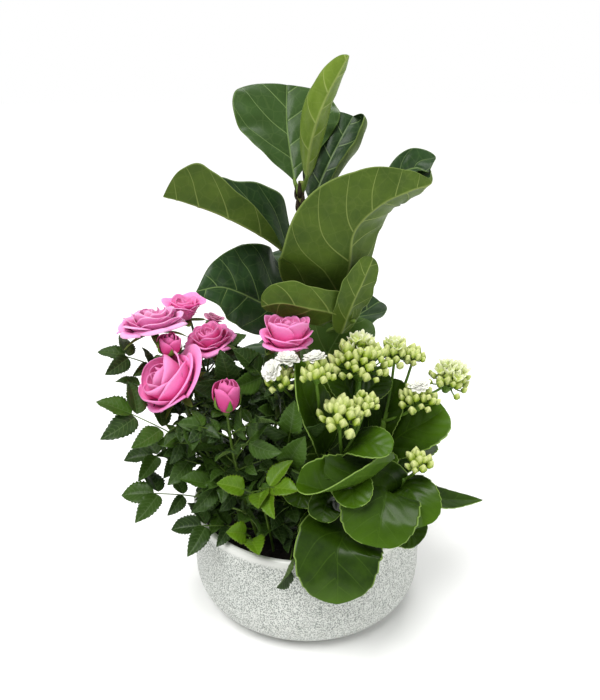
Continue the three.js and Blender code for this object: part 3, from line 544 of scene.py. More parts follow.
# The tip leaf is new: yellow-green on both sides and less glossy
fig_young = leaf_finish("young_fig_leaf", "#566f1a", "#748c30", "#a2b064", "#8ea24c", 1.8, 1.0,
                        FIG_SPACING, 0.6, 0.42, 0.08, "#8ba23c")
fig_stalk = leaf_finish("green_leaf_stalk", "#4f6a26", "#6f8836", "#6f8836", "#6f8836", 0.1, 0.1,
                        FIG_SPACING, 0.2, 0.45, 0.05)


def fig_leaf(number, start, path, width, face, lobes=(), outline=FIDDLE, young=False, tint=0.0,
             wave=0.05, **bend):
    """One leaf: its blade, its extra lobes where it has any, and its stalk to the trunk."""
    path = np.asarray(path, float)
    length = np.linalg.norm(np.diff(path, axis=0), axis=1).sum()
    look = {"outline": outline, "wave": wave, "waves": 2.4, "phase": number * 0.37, "puff": 0.8,
            "groove": 0.4, "thickness": 0.7, "tint": tint, "seed": number}
    neck_end = path[0] + unit(path[1] - path[0]) * 4
    skins = [
        blade(path, width, face, rows=120, cols=72, pairs=length / FIG_SPACING - 0.5, **look, **bend),
        tube([start, path[0], neck_end], 2.0, 1.2, 14, 12, slot=2),
    ]
    for lobe_path, lobe_width, lobe_face in lobes:
        skins.append(blade(lobe_path, lobe_width, lobe_face, rows=60, cols=32, pairs=3, **look))
    finishes = [fig_young, fig_young, fig_stalk] if young else [fig_upper, fig_under, fig_stalk]
    piece(f"fig_leaf_blade_{number}", skins, finishes, f"fig_leaf_{number}")


# The top leaf's tint of 0.35 lightens it towards the fresh green as painted light, since it is lit from above
# more than the leaves below it
fig_leaf(1, [-6, 28, 350], [[-10, 33, 360], [-14, 48, 382], [-17, 65, 405], [-17, 84, 432]], 90,
         [0.2, -0.8, 0.5], fold=0.15, curl=(-0.25, -0.2), outline=(1.25, 0.36), tint=0.35)
fig_leaf(2, [-5, 28, 352], [[-1, 22, 364], [2, 12, 392], [11, 3, 422], [28, -4, 454]], 38,
         [0.1, 1, 0], face_tip=[-0.5, 1, 0.2], fold=(0.25, 0.35), curl=(1.2, 1.4), outline=(0.7, 0.55),
         young=True)
fig_leaf(3, [-6, 28, 338], [[4, 36, 343], [14, 50, 366], [26, 64, 388], [38, 76, 408]], (50, 84),
         [-0.2, -0.9, 0.4], fold=(0.1, -0.1), curl=(0, 2.2))
fig_leaf(4, [-7, 28, 296],
         [[-14, 24, 301], [-34, 8, 321], [-64, -14, 343], [-89, -26, 355], [-104, -32, 360]],
         (60, 92), [0.35, 0.2, 0.9], fold=(1.1, 0.9), fold_tip=(1.1, 0.7), curl=(0.1, 0.2),
         outline=((1.6, 0.55), (0.5, 1.6)))
fig_leaf(5, [-4, 28, 256],
         [[19, 10, 253], [31, -12, 298], [34, -22, 332], [52, -26, 353], [74, -23, 363], [91, -8, 366],
          [93, 14, 375]],
         (98, 110), [-0.1, 1, 0.2], face_tip=[-0.9, 0.5, 0.5], fold=0.1, fold_tip=(0.3, 0.9),
         curl=(0.3, 0.4), curl_tip=(1.8, 0.2), outline=((0.9, 0.3), (0.42, 2.0)), wave=0.03,
         lobes=[([[24, 2, 262], [40, -6, 300], [50, -2, 327]], 32, [-0.9, 0.4, 0.2]),
                ([[56, -10, 362], [69, 3, 371], [82, 8, 375], [91, 4, 372]], 32, [0.15, -0.8, 0.55])])
fig_leaf(6, [-7, 28, 246],
         [[-17, 18, 256], [-36, 2, 269], [-53, -14, 283], [-67, -26, 291], [-84, -34, 290]],
         (54, 96), [0.1, -0.85, 0.55], fold=0.1, curl=-0.3, outline=((0.45, 0.8), (0.4, 1.1)))
fig_leaf(7, [-6, 28, 228],
         [[34, -19, 260], [22, -28, 270], [0, -34, 277], [-20, -34, 281], [-35, -30, 277]],
         (36, 34), [0.1, 0.85, 0.5], fold=(0.3, -0.2), curl=(0.5, 0.3), outline=(0.42, 0.42), wave=0.08,
         lobes=[([[26, -22, 252], [33, -27, 276], [41, -26, 295], [49, -19, 312]], 30, [-0.5, 0.85, -0.1])])
fig_leaf(8, [-7, 29, 262], [[-6, 40, 266], [-8, 75, 279], [-12, 110, 286], [-16, 134, 283]], 70,
         [0, -0.5, 0.85], fold=-0.05, curl=-0.2)
fig_leaf(9, [-5, 28, 214], [[8, 34, 220], [24, 46, 229], [44, 60, 238], [66, 74, 248]], 50,
         [0, -0.3, 0.95], fold=0.2, curl=0.2)
fig_leaf(10, [-6, 28, 190], [[-14, 38, 194], [-30, 66, 204], [-44, 94, 200], [-52, 112, 188]], 70,
         [0, -0.4, 0.9], fold=0.15, curl=-0.3)
fig_leaf(11, [-4, 27, 172], [[6, 16, 192], [14, 8, 216], [24, 0, 240], [35, -8, 262]], 68,
         [-0.1, -0.9, -0.2], fold=-0.1, curl=-0.6, tint=0.9)

# ------------------------------------------------------------------ rose stems and leaves
# Thin arching green canes with a few prickles. Each carries leaves of three to seven serrated
# leaflets on a fine stalk, dark green above, grey-green below, and soft light shoots in front.

ROSE_SPACING = 4.0
CANE_TAPER = 0.7
PRICKLES = 6
PRICKLE_LENGTH = 3.2
INNER_LEAVES = 14
LEAST_SPRAY = 18
THICKET = np.array([[-122.0, -88.0, 96.0], [-2.0, 34.0, 208.0]])

# Mature rose leaf: dark and a little glossy above, matt grey-green below; the new leaf is a
# fresher green on both sides, and the cane is smooth, green and satin
rose_upper = leaf_finish("rose_leaf_upper", "#16290c", "#32491d", "#5e7644", "#38511f", 0.8, 0.45,
                         ROSE_SPACING, 0.5, 0.42, 0.08, "#4c7018", 0.2, 0.2)
rose_under = leaf_finish("rose_leaf_under", "#384f22", "#54692f", "#77895a", "#54692f", 0.9, 0.5,
                         ROSE_SPACING, 0.6, 0.6, 0.0, "#6b8534", 0.15, 0.2)
rose_fresh = leaf_finish("new_rose_leaf", "#2a410a", "#47650f", "#7a9638", "#5b5c20", 0.9, 0.45,
                         ROSE_SPACING, 0.45, 0.4, 0.1, "#587b13", 0.2, 0.2)
rose_cane = leaf_finish("green_rose_cane", "#35551a", "#5a7a2a", "#6a4a2c", "#5a7a2a", 0.1, 0.1,
                        ROSE_SPACING, 0.1, 0.42, 0.08, "#6f9430")


def spray(start, end, face, size, pairs, seed, fresh=0.0, small=False):
    """A compound leaf: a fine stalk that arches by 0.3 s (L - s) / L, opposite pairs of leaflets
    that point forward, and one leaflet at the end. Where there is room behind the last pair, a
    smaller pair is added. A small one has fewer teeth."""
    a, b = np.asarray(start, float), np.asarray(end, float)
    length = np.linalg.norm(b - a)
    d = (b - a) / length
    side = unit(np.cross(d, face))
    up = np.cross(side, d)
    rng = np.random.default_rng(seed)
    grid = {"rows": 18, "cols": 4, "teeth": 6} if small else {"rows": 33, "cols": 8, "teeth": 11}

    def at(s, out=0.0, rise=0.0):
        return a + d * s + side * out + up * (0.3 * s * (length - s) / length + rise)

    def leaflet(path, width, roll):
        tilt = up + side * (roll * 0.25 + rng.uniform(-0.45, 0.45)) + d * rng.uniform(-0.35, 0.35)
        span = np.linalg.norm(np.asarray(path[-1]) - path[0])
        return blade(path, width, tilt, fold=0.34, curl=rng.uniform(-0.3, 0.5), outline=(0.6, 0.98),
                     wave=0.06, phase=rng.uniform(), tooth=0.2, slant=0.8, pairs=span / ROSE_SPACING,
                     puff=0.35, groove=0.2, thickness=0.35,
                     tint=min(1.0, fresh + 2 * rng.uniform(0, 0.5) ** 2),
                     seed=int(rng.integers(1 << 30)), **grid)

    skins = [tube([at(0), at(length * 0.4), at(length - 0.75 * size)], 0.7, 0.45, 8, 6, slot=2)]
    root = length - size
    end_path = [at(root + 0.16 * size), at(root + 0.45 * size), at(root + 0.75 * size, 0, -0.02 * size),
                at(length, 0, -0.07 * size)]
    skins.append(leaflet(end_path, 0.66 * size, 0))
    rows = [(length - size * (0.95 + 0.66 * i), 1.0 - 0.08 * i) for i in range(pairs)]
    behind = length - size * (0.95 + 0.66 * pairs)
    if pairs and behind > 0.3 * size:
        rows.append((behind, 0.72))
    for q, scale in rows:
        for way in (-1, 1):
            reach = size * scale
            droop = rng.uniform(0.02, 0.16)
            path = [at(q, 0.05 * reach * way), at(q + 0.14 * reach, 0.32 * reach * way),
                    at(q + 0.3 * reach, 0.6 * reach * way, -0.3 * droop * reach),
                    at(q + 0.5 * reach, 0.86 * reach * way, -droop * reach)]
            skins.append(leaflet(path, 0.6 * reach, way))
    return skins


def prickle(at, out, size):
    """A small hooked thorn: a cone whose tip is bent down."""
    at, out = np.asarray(at, float), np.asarray(out, float)
    return tube([at, at + out * size * 0.6, at + out * size - [0, 0, 0.4 * size]], 0.8, 0.05, 4, 6, slot=2)


def rose_stem(number, path, radius, sprays, branches=()):
    """One leafy cane, replacing the CAD stem of the same number. Small compound leaves leave it
    all the way up, each held within the thicket's box."""
    skins = [tube(path, radius, radius * CANE_TAPER, 40, 10, slot=2)]
    skins += [tube(branch, 0.9, 0.8, 12, 8, slot=2) for branch in branches]
    for i, (s, *leaf) in enumerate(sprays):
        skins += spray(curve(path, s), *leaf, seed=100 * number + i)
    rng = np.random.default_rng(number)
    for s in rng.uniform(0.3, 0.9, PRICKLES):
        w = rng.uniform(0, 2 * np.pi)
        out = np.array([math.cos(w), math.sin(w), 0.1])
        skins.append(prickle(curve(path, s) + out * radius * 0.6, out, PRICKLE_LENGTH))
    for i in range(INNER_LEAVES):
        s = 0.3 + 0.6 * (i + rng.uniform()) / INNER_LEAVES
        w = 2.4 * i + number
        root = curve(path, s)
        out = np.array([math.cos(w), math.sin(w), rng.uniform(-0.1, 0.6)]) * rng.uniform(26, 40)
        tip = np.clip(root + out, *THICKET)
        if np.linalg.norm(tip - root) > LEAST_SPRAY:
            face = [rng.uniform(-0.3, 0.3), rng.uniform(-0.8, 0.1), 0.8]
            skins += spray(root, tip, face, rng.uniform(15, 22), 1, seed=100 * number + 50 + i, small=True)
    finishes = [rose_upper, rose_under, rose_cane]
    piece(f"rose_cane_{number}", skins, finishes, f"rose_stem_{number}")


rose_stem(1, [[-52, -45, 64], [-52, -45, 84], [-66, -52, 135], [-86, -54, 180], [-98, -47, 215]], 1.6, [
    (0.62, [-158, -64, 214], [0.2, -0.5, 0.85], 32, 2),
    (0.56, [-116, -68, 170], [0.1, -0.5, 0.85], 26, 1),
    (0.82, [-84, -94, 190], [0, -0.5, 0.85], 24, 1),
    (0.40, [-148, -60, 130], [0.1, -0.4, 0.9], 30, 1),
])
rose_stem(2, [[-62, -26, 64], [-62, -26, 84], [-84, -24, 150], [-104, -22, 204], [-119, -20, 250]], 1.6, [
    (0.81, [-164, -28, 240], [0.2, -0.4, 0.9], 25, 1),
    (0.70, [-150, -36, 218], [0.2, -0.5, 0.85], 22, 0),
    (0.46, [-150, -36, 148], [0.1, -0.3, 0.95], 28, 2),
    (0.59, [-66, -40, 206], [0, -0.7, 0.7], 24, 1),
], [[[-105, -22, 203], [-107, -28, 222], [-107, -33, 239]]])
rose_stem(3, [[-46, -18, 64], [-46, -18, 84], [-64, -10, 150], [-84, 2, 205], [-97, 14, 251]], 1.5, [
    (0.53, [-118, 16, 178], [0.1, 0.1, 1], 28, 2),
    (0.76, [-52, 22, 236], [0, -0.3, 0.95], 26, 1),
    (0.38, [-98, -4, 142], [0, -0.4, 0.9], 30, 1),
], [[[-84, 0, 204], [-81, 6, 228], [-78, 9, 248]]])
rose_stem(4, [[-34, -34, 64], [-34, -34, 84], [-48, -30, 140], [-64, -20, 195], [-76, -10, 235]], 1.6, [
    (0.68, [-65, -52, 249], [0.3, -0.85, 0.4], 34, 1),
    (0.43, [-74, -60, 172], [0, -0.6, 0.8], 28, 1),
    (0.59, [-14, 0, 214], [0, -0.5, 0.85], 30, 2),
])
rose_stem(5, [[-20, -20, 64], [-20, -20, 84], [-20, -22, 150], [-18, -30, 200], [-16, -40, 239]], 1.5, [
    (0.70, [-56, -40, 246], [0.1, -0.6, 0.8], 32, 1),
    (0.55, [-36, -66, 208], [0, -0.7, 0.7], 28, 1),
    (0.39, [-38, 32, 176], [0, -0.3, 0.9], 30, 2),
])
rose_stem(6, [[-40, -58, 64], [-40, -58, 84], [-50, -66, 130], [-57, -68, 170], [-61, -66, 206]], 1.5, [
    (0.72, [-28, -76, 206], [0, -0.7, 0.7], 28, 1),
    (0.51, [-96, -82, 158], [0, -0.6, 0.8], 28, 1),
    (0.33, [-108, -72, 106], [0, -0.4, 0.9], 28, 1),
])
rose_stem(7, [[-14, -46, 64], [-14, -46, 84], [-18, -56, 130], [-18, -60, 164]], 1.4, [
    (0.98, [-10, -80, 220], [0.1, -0.8, 0.5], 32, 1),
    (0.80, [-4, -86, 194], [-0.2, -0.8, 0.5], 38, 1),
    (0.59, [-46, -80, 134], [0, -0.6, 0.8], 28, 1),
    (0.30, [6, -84, 112], [0, -0.5, 0.85], 28, 1),
    (0.44, [-21, -121, 88], [1, 0, 0], 34, 0),
])


def rose_shoot(number, path, leaves):
    """A soft young shoot with single bright leaflets."""
    skins = [tube(path, 1.2, 0.8, 24, 8, slot=2)]
    for i, leaf in enumerate(leaves):
        skins += spray(*leaf, seed=900 + 10 * number + i, fresh=0.6)
    finishes = [rose_fresh, rose_fresh, rose_cane]
    piece(f"rose_new_shoot_{number}", skins, finishes, f"rose_shoot_{number}")


rose_shoot(1, [[-28, -66, 64], [-28, -66, 84], [-33, -78, 124], [-36, -86, 152]], [
    ([-36, -86, 151], [-8, -106, 163], [0, -0.6, 0.8], 27, 1),
    ([-35, -83, 142], [-66, -98, 164], [0, -0.6, 0.8], 26, 0),
    ([-35, -84, 148], [-36, -112, 153], [0, -0.7, 0.7], 27, 0),
])
rose_shoot(2, [[-46, -76, 64], [-46, -76, 80], [-45, -83, 106]], [
    ([-45, -82, 104], [-37, -111, 112], [0.1, -0.7, 0.7], 29, 0),
    ([-45, -82, 106], [-59, -106, 127], [-0.1, -0.7, 0.7], 27, 0),
])

# ------------------------------------------------------------------ rose blooms
# Double pink flowers. Each opens from its foot in whorls of thin cupped petals that overlap one
# way round, tight and deep pink at the heart, paler and rolled back outside, over green sepals.

STREAK_RELIEF = 0.3
PETAL_SKIN = 0.17
SEPALS, SEPAL_WIDTH = 5, 6.5
HIP_RADIUS = 2.7


def petal_finish(name, heart, body, pale, streak):
    """Rose petal: thin, soft and satin. The depth tag goes from the heart to the outer whorl,
    the along tag from the petal's foot to its rim; fine streaks run up it."""
    tree, shader, material = finish(name)
    depth, along, side = [
        add(tree, "Attribute", {"attribute_name": tag}).outputs["Fac"] for tag in ("depth", "along", "side")
    ]
    at = add(tree, "CombineXYZ", {}, {0: side, 1: along, 2: depth})
    stretch = add(tree, "Mapping", {"Scale": (1.6, 1.2, 3.0)}, {"Vector": at})
    lines = add(tree, "TexNoise", {"Scale": 1.0, "Detail": 4.0}, {"Vector": stretch})
    lift = add(
        tree, "MapRange",
        {"interpolation_type": "SMOOTHSTEP", "From Min": 0.6, "From Max": 1.05, "To Max": 0.6},
        {"Value": along},
    )
    line = add(tree, "MapRange", {"From Min": 0.5, "From Max": 0.75, "To Max": 0.35}, {"Value": lines})
    colour = add(tree, "Mix", {"data_type": "RGBA", A: linear(heart), B: linear(body)}, {0: depth})
    for share, layer in ((lift, pale), (line, streak)):
        colour = add(tree, "Mix", {"data_type": "RGBA", B: linear(layer)}, {0: share, A: colour})
    rough = add(tree, "MapRange", {"To Min": 0.4, "To Max": 0.65}, {"Value": lines})
    bump = add(tree, "Bump", {"Strength": 0.25, "Distance": STREAK_RELIEF * MM}, {"Height": lines})
    fit(tree, shader,
        {"IOR": 1.4, "Specular IOR Level": 0.2, "Sheen Weight": 0.1, "Sheen Roughness": 0.4,
         "Subsurface Weight": 0.2, "Subsurface Radius": (1.0, 0.5, 0.7), "Subsurface Scale": 1.5 * MM},
        {"Base Color": colour, "Roughness": rough, "Normal": bump})
    return material


# Fresh petals pass some light and go pale at the rim; a bud's are deeper, a spent bloom's duller
rose_pink = petal_finish("rose_petal_pink", "#dd3688", "#ff8acb", "#ffb2e2", "#f268b6")
rose_pale = petal_finish("rose_petal_pale", "#e0609f", "#f9a2d8", "#ffcdee", "#e887c4")
rose_bud = petal_finish("rose_petal_in_bud", "#bf2a6e", "#ea62a8", "#f78cc8", "#d04a8c")
rose_spent = petal_finish("rose_petal_spent", "#a03a62", "#cc7aa2", "#e0a0be", "#7a3a44")
# Sepals and hip: matt light green with a brown margin
rose_calyx = leaf_finish("rose_calyx", "#3f5e1c", "#668434", "#668434", "#7a6a3a", 0.5, 0.3,
                         ROSE_SPACING, 0.3, 0.5, 0.0, "#789a3e")


def petal(base, axes, middle, span, belly, rim, height, roll, ruffle, seed, depth, rows=14, cols=12):
    """One petal about the flower's axis, through `span` radians. In profile it is a cubic that
    swells to the belly and reaches the rim's radius and height; its last quarter rolls outward
    on a circle of radius `roll`. Its sides stop lower than its pointed middle, its radius grows
    by 0.09 from one side to the other, so that neighbours overlap, and `ruffle` waves its rim."""
    rng = np.random.default_rng(seed)
    u = np.linspace(0.02, 1, rows + 1)[:, None]
    v = np.linspace(-1, 1, cols + 1)[None, :]
    top = 1 - 0.24 * np.abs(v) ** 3.4 + 0.02 * np.exp(-((v / 0.2) ** 2))
    top = top + 0.6 * ruffle * np.sin(5 * v + rng.uniform(0, 6))
    s = u * top
    profile = [(1.2, 0), (belly, 0), (1.25 * belly, 0.5 * height), (rim, height)]
    mix = [(1 - s) ** 3, 3 * s * (1 - s) ** 2, 3 * s**2 * (1 - s), s**3]
    r = sum(m * p[0] for m, p in zip(mix, profile))
    h = sum(m * p[1] for m, p in zip(mix, profile))
    turn = 2.4 * np.clip((u - 0.74) / 0.26, 0, 1) ** 1.5 * (1 - 0.25 * np.abs(v))
    r = r * (1 + 0.09 * v * np.minimum(1, 2 * u)) + roll * np.sin(turn)
    r = r + ruffle * rim * np.sin(4 * v + rng.uniform(0, 6)) * u**2
    h = h - roll * (1 - np.cos(turn))
    w = middle + v * span / 2
    x, y, a = axes
    grid = base + x * (r * np.cos(w))[..., None] + y * (r * np.sin(w))[..., None]
    grid = grid + a * (h + 0 * v)[..., None]
    out = unit(np.cross(np.gradient(grid, axis=0), np.gradient(grid, axis=1))) * PETAL_SKIN
    return shell(grid + out, grid - out, {"along": s, "side": r * w * 1.5, "depth": np.full(r.shape, depth)})


def flower_axes(axis):
    """Two directions square to the flower's axis, and the axis."""
    a = unit(np.asarray(axis, float))
    x = unit(np.cross([0.3, 1.0, 0.2], a))
    return x, np.cross(a, x), a


def hip(u):
    """Swelling of the hip: widest from 0.3 to 0.7 of its length, narrower at both ends."""
    return np.interp(u, [0, 0.3, 0.7, 1], [0.5, 1.0, 1.0, 0.6])


def bloom(number, at, axis, radius, height, whorls, open_, colour=rose_pink, laid_back=()):
    """A rose of the given whorls, heart first: each is a count of petals, and the belly, rim,
    height, roll and ruffle of its petals as shares of the flower's radius and height. For each
    direction in `laid_back`, one more broad petal has dropped away from the cup towards it."""
    base = np.asarray(at, float)
    axes = flower_axes(axis)
    x, y, a = axes
    rng = np.random.default_rng(40 + number)
    blush = min(1.0, 0.35 + 1.2 * open_)
    skins = []
    for i, (count, belly, rim, top, roll, ruffle) in enumerate(whorls):
        for j in range(count):
            middle = 2 * np.pi * (j + 0.37 * i) / count + rng.uniform(-0.15, 0.15)
            span = 2 * np.pi / count * 1.5
            skins.append(petal(
                base, axes, middle, span, radius * belly, radius * rim * rng.uniform(0.94, 1.05),
                height * top * rng.uniform(0.93, 1.03), radius * roll * rng.uniform(0.6, 1.3), ruffle,
                int(rng.integers(1 << 30)), blush * i / (len(whorls) - 1),
            ))
    for toward in laid_back:
        middle = math.atan2(np.dot(toward, y), np.dot(toward, x))
        skins.append(petal(base, axes, middle, 2.3, radius * 0.8, radius * 1.4, height * 0.42,
                           radius * 0.08, 0.02, int(rng.integers(1 << 30)), 1.0, 20, 20))
    for j in range(SEPALS):
        w = 2 * np.pi * j / SEPALS + 0.3
        out = x * math.cos(w) + y * math.sin(w)
        tip = base + out * radius * (1.06 + 0.05 * open_) + a * height * (0.56 - 1.1 * open_)
        mid = base + out * radius * (1.0 - 0.33 * open_) + a * height * (0.2 - 0.45 * open_)
        skins.append(blade([base + out * 1.2 - a * 0.5, mid, tip], SEPAL_WIDTH, a * 0.6 - out * (1 - open_),
                           curl=0.5, outline=(0.4, 1.0), rows=12, cols=6, pairs=2, slots=(1, 1, 1),
                           thickness=0.4, tint=rng.uniform(0, 0.6)))
    skins.append(tube([base - a * 5, base - a * 2, base + a * 1], HIP_RADIUS, HIP_RADIUS, 9, 10, hip, slot=1))
    piece(f"rose_flower_{number}", skins, [colour, rose_calyx], f"rose_bloom_{number}")


CUP = [
    (3, 0.14, 0.08, 0.82, 0.0, 0.04), (4, 0.28, 0.26, 0.88, 0.03, 0.05), (4, 0.42, 0.47, 0.93, 0.05, 0.05),
    (4, 0.54, 0.68, 0.98, 0.06, 0.04), (5, 0.62, 0.87, 0.99, 0.09, 0.03), (4, 0.66, 0.97, 0.64, 0.14, 0.06),
    (4, 0.62, 0.96, 0.28, 0.14, 0.08),
]
DISH = [
    (4, 0.12, 0.10, 0.80, 0.0, 0.08), (5, 0.22, 0.24, 0.90, 0.02, 0.08), (5, 0.34, 0.42, 0.98, 0.04, 0.07),
    (5, 0.46, 0.62, 0.95, 0.07, 0.06), (6, 0.56, 0.82, 0.76, 0.10, 0.06), (6, 0.60, 0.97, 0.48, 0.12, 0.07),
]
SPREAD = [
    (4, 0.14, 0.12, 0.86, 0.0, 0.09), (4, 0.30, 0.30, 0.94, 0.03, 0.09), (5, 0.46, 0.52, 1.0, 0.06, 0.08),
    (5, 0.56, 0.74, 0.97, 0.10, 0.08), (5, 0.62, 0.92, 0.72, 0.12, 0.09), (6, 0.62, 1.02, 0.40, 0.12, 0.09),
]
WIDE_CUP = [
    (3, 0.13, 0.06, 0.84, 0.0, 0.03), (3, 0.28, 0.17, 0.92, 0.02, 0.03), (3, 0.46, 0.34, 0.98, 0.04, 0.03),
    (3, 0.62, 0.56, 1.0, 0.07, 0.03), (4, 0.74, 0.80, 0.88, 0.12, 0.03), (3, 0.76, 0.96, 0.58, 0.15, 0.04),
]
GOBLET = [
    (3, 0.16, 0.12, 0.84, 0.0, 0.04), (3, 0.28, 0.36, 0.92, 0.05, 0.05), (4, 0.38, 0.68, 0.97, 0.1, 0.06),
    (4, 0.44, 1.0, 0.96, 0.16, 0.06),
]
BUD = [(3, 0.5, 0.2, 0.98, 0.02, 0.03), (3, 0.74, 0.44, 0.97, 0.05, 0.03), (4, 0.9, 0.74, 0.9, 0.12, 0.03)]
bloom(1, [-99, -44, 214], [-0.66, -0.38, 0.7], 23.5, 30, WIDE_CUP, 0.6, rose_pink, [[0.6, -0.1, 0.8]])
bloom(2, [-121, -20, 253], [-0.15, 0.12, 1], 24, 19, SPREAD, 0.9, rose_pale)
bloom(3, [-101, 14, 251], [0, -0.05, 1], 15.5, 21, GOBLET, 0.5)
bloom(4, [-77, -10, 236], [-0.2, -0.2, 0.95], 19.5, 19, DISH, 0.9)
bloom(5, [-107, -34, 240], [0.1, -0.2, 1], 9, 18, BUD, 0.0, rose_bud)
bloom(6, [-16, -40, 248], [0, 0, 1], 18, 25, CUP, 0.6)
bloom(7, [-61, -66, 207], [0.05, -0.1, 1], 9.8, 26, BUD, 0.0, rose_bud)
bloom(8, [-78, 9, 249], [0.3, 0, 1], 7, 9, GOBLET, 0.5, rose_spent)

# ------------------------------------------------------------------ kalanchoe stems and leaves
# Fleshy green stems with thick, smooth, scalloped leaves, glossy mid green with a pale margin,
# and thinner green stalks that carry the flower heads.

ROUND = (0.55, 0.42)
KALANCHOE_SPACING = 14.0
STEM_RADIUS, STEM_TAPER = 3.2, 0.7

# Fleshy leaf: smooth and waxy, with faint veins and a paler margin; duller and lighter below
# Its fresh green, towards each leaf's tip, is painted light; the plain deep green at the foot is painted
# shade
plump_upper = leaf_finish("fleshy_leaf_upper", "#172b03", "#304a09", "#48661c", "#8caa52", 1.2, 0.8,
                          KALANCHOE_SPACING, 0.3, 0.34, 0.1, "#4d720b", 0.14)
plump_under = leaf_finish("fleshy_leaf_under", "#35520f", "#4c6b1a", "#658236", "#86a452", 1.6, 0.8,
                          KALANCHOE_SPACING, 0.3, 0.42, 0.05, "#5f8524")
plump_stem = leaf_finish("fleshy_stem", "#42651c", "#6a8c32", "#6a8c32", "#6a8c32", 0.1, 0.1,
                         KALANCHOE_SPACING, 0.1, 0.42, 0.05)


def kalanchoe_stem(number, path, leaves, stalks=()):
    """One stem with its flower stalks and leaves, each a path, a width, a face and any further
    values of its blade. A leaf is thick in the middle, thin at its scalloped margin, and its
    foot clasps the stem."""
    skins = [tube(path, STEM_RADIUS, STEM_RADIUS * STEM_TAPER, 40, 14, slot=2)]
    skins += [tube(stalk, 1.4, 1.1, 14, 8, slot=2) for stalk in stalks]
    rng = np.random.default_rng(60 + number)
    for leaf_path, width, face, *more in leaves:
        phase = rng.uniform()
        # Painted shade and light: each leaf's tint rises from below zero at its foot to 0.25 to 0.7 at its
        # tip, so the foot, shaded by the leaves above, stays deep green and the tip, out in the light, is
        # lighter
        shape = {"outline": ROUND, "curl": 0.15, "wave": 0.02, "tint": (-0.4, 0.25 + rng.uniform(0, 0.45))}
        shape.update(*more)
        skins.append(blade(leaf_path, width, face, teeth=10, tooth=0.05, pairs=5, slant=0.9, puff=0.4,
                           groove=0.25, thickness=1.5, phase=phase, seed=int(rng.integers(1 << 30)), **shape))
    finishes = [plump_upper, plump_under, plump_stem]
    piece(f"kalanchoe_leafy_stem_{number}", skins, finishes, f"kalanchoe_stem_{number}")


kalanchoe_stem(1, [[14, -34, 64], [14, -34, 84], [12, -44, 140], [8, -52, 190]], [
    ([[13, -48, 160], [8, -58, 188], [-2, -64, 216], [-9, -63, 246]], (44, 40), [0.55, -0.8, 0.15],
     dict(fold=(0.35, 0), curl=(0.7, 0.2), outline=(0.5, 0.6))),
    ([[13, -44, 132], [2, -58, 138], [-4, -72, 139], [-8, -82, 132]], 34, [0, -0.5, 0.85]),
    ([[13, -36, 120], [-4, -30, 146], [-22, -24, 172]], 38, [0, -0.6, 0.8]),
    ([[12, -44, 160], [16, -32, 186], [18, -20, 212]], 38, [0, -0.7, 0.6]),
    ([[14, -36, 104], [0, -56, 114], [-10, -70, 108]], 36, [0, -0.5, 0.85]),
    ([[13, -38, 118], [5, -14, 136], [-3, 6, 142]], 36, [0, -0.6, 0.8]),
], [
    [[8, -52, 188], [-10, -56, 210], [-20, -66, 227]],
    [[8, -52, 186], [8, -68, 212], [5, -75, 237]],
])
kalanchoe_stem(2, [[40, -20, 64], [40, -20, 84], [38, -32, 150], [39, -44, 226]], [
    ([[39, -28, 128], [52, -54, 150], [58, -66, 150]], 40, [0, -0.5, 0.85]),
    ([[38, -24, 120], [46, 6, 140], [50, 30, 144]], 44, [0, -0.3, 1]),
    ([[38, -30, 138], [24, -8, 160], [14, 8, 166]], 40, [0, -0.3, 1]),
    ([[39, -41, 196], [30, -30, 212], [22, -22, 226]], 28, [0.2, -0.8, 0.4]),
    ([[39, -42, 202], [52, -34, 214], [62, -28, 222]], 26, [0, -0.8, 0.5]),
    ([[39, -26, 140], [46, -14, 166], [50, -6, 188]], 38, [0, -0.8, 0.5]),
])
kalanchoe_stem(3, [[62, -22, 64], [62, -22, 84], [60, -26, 130], [62, -28, 180]], [
    ([[61, -28, 148], [76, -38, 172], [94, -42, 186], [108, -40, 196]], 46, [-0.2, -0.7, 0.7],
     dict(fold=0.1, curl=0.3)),
    ([[61, -26, 150], [62, -26, 176], [67, -27, 194], [75, -24, 213]], 30, [-0.6, -0.8, 0.2], dict(curl=0.4)),
    ([[61, -24, 120], [90, -2, 140], [104, 10, 142]], 44, [0, -0.2, 1]),
], [
    [[62, -28, 178], [66, -28, 206], [68, -28, 231]],
    [[62, -28, 178], [76, -26, 206], [83, -22, 227]],
    [[62, -28, 178], [90, -26, 196], [112, -22, 208]],
    [[62, -28, 178], [78, -40, 192], [86, -44, 203]],
])
kalanchoe_stem(4, [[28, -58, 64], [28, -58, 84], [28, -60, 130], [26, -68, 170]], [
    ([[66, -68, 168], [42, -88, 160], [13, -99, 158], [-9, -98, 164]], (48, 52), [0, -0.2, 1],
     dict(fold=(1.3, 0.3), fold_tip=(0.0, 0.7), curl=(0.3, 0.5), outline=((0.5, 0.45), (0.6, 0.36)))),
    ([[27, -64, 168], [36, -76, 184], [47, -86, 189], [61, -92, 188]], 32, [0, -0.4, 0.9]),
    ([[28, -60, 138], [32, -88, 155], [33, -107, 148]], 32, [0, -0.8, 0.5]),
    ([[28, -60, 128], [14, -90, 140], [10, -101, 132]], 26, [0, -0.8, 0.5]),
    ([[27, -62, 146], [8, -68, 154], [-8, -74, 150]], 32, [0, -0.6, 0.8]),
    ([[28, -58, 104], [12, -78, 112], [0, -90, 102]], 34, [0, -0.6, 0.8]),
], [
    [[26, -68, 168], [24, -76, 186], [23, -80, 202]],
    [[26, -68, 168], [36, -70, 190], [41, -70, 206]],
])
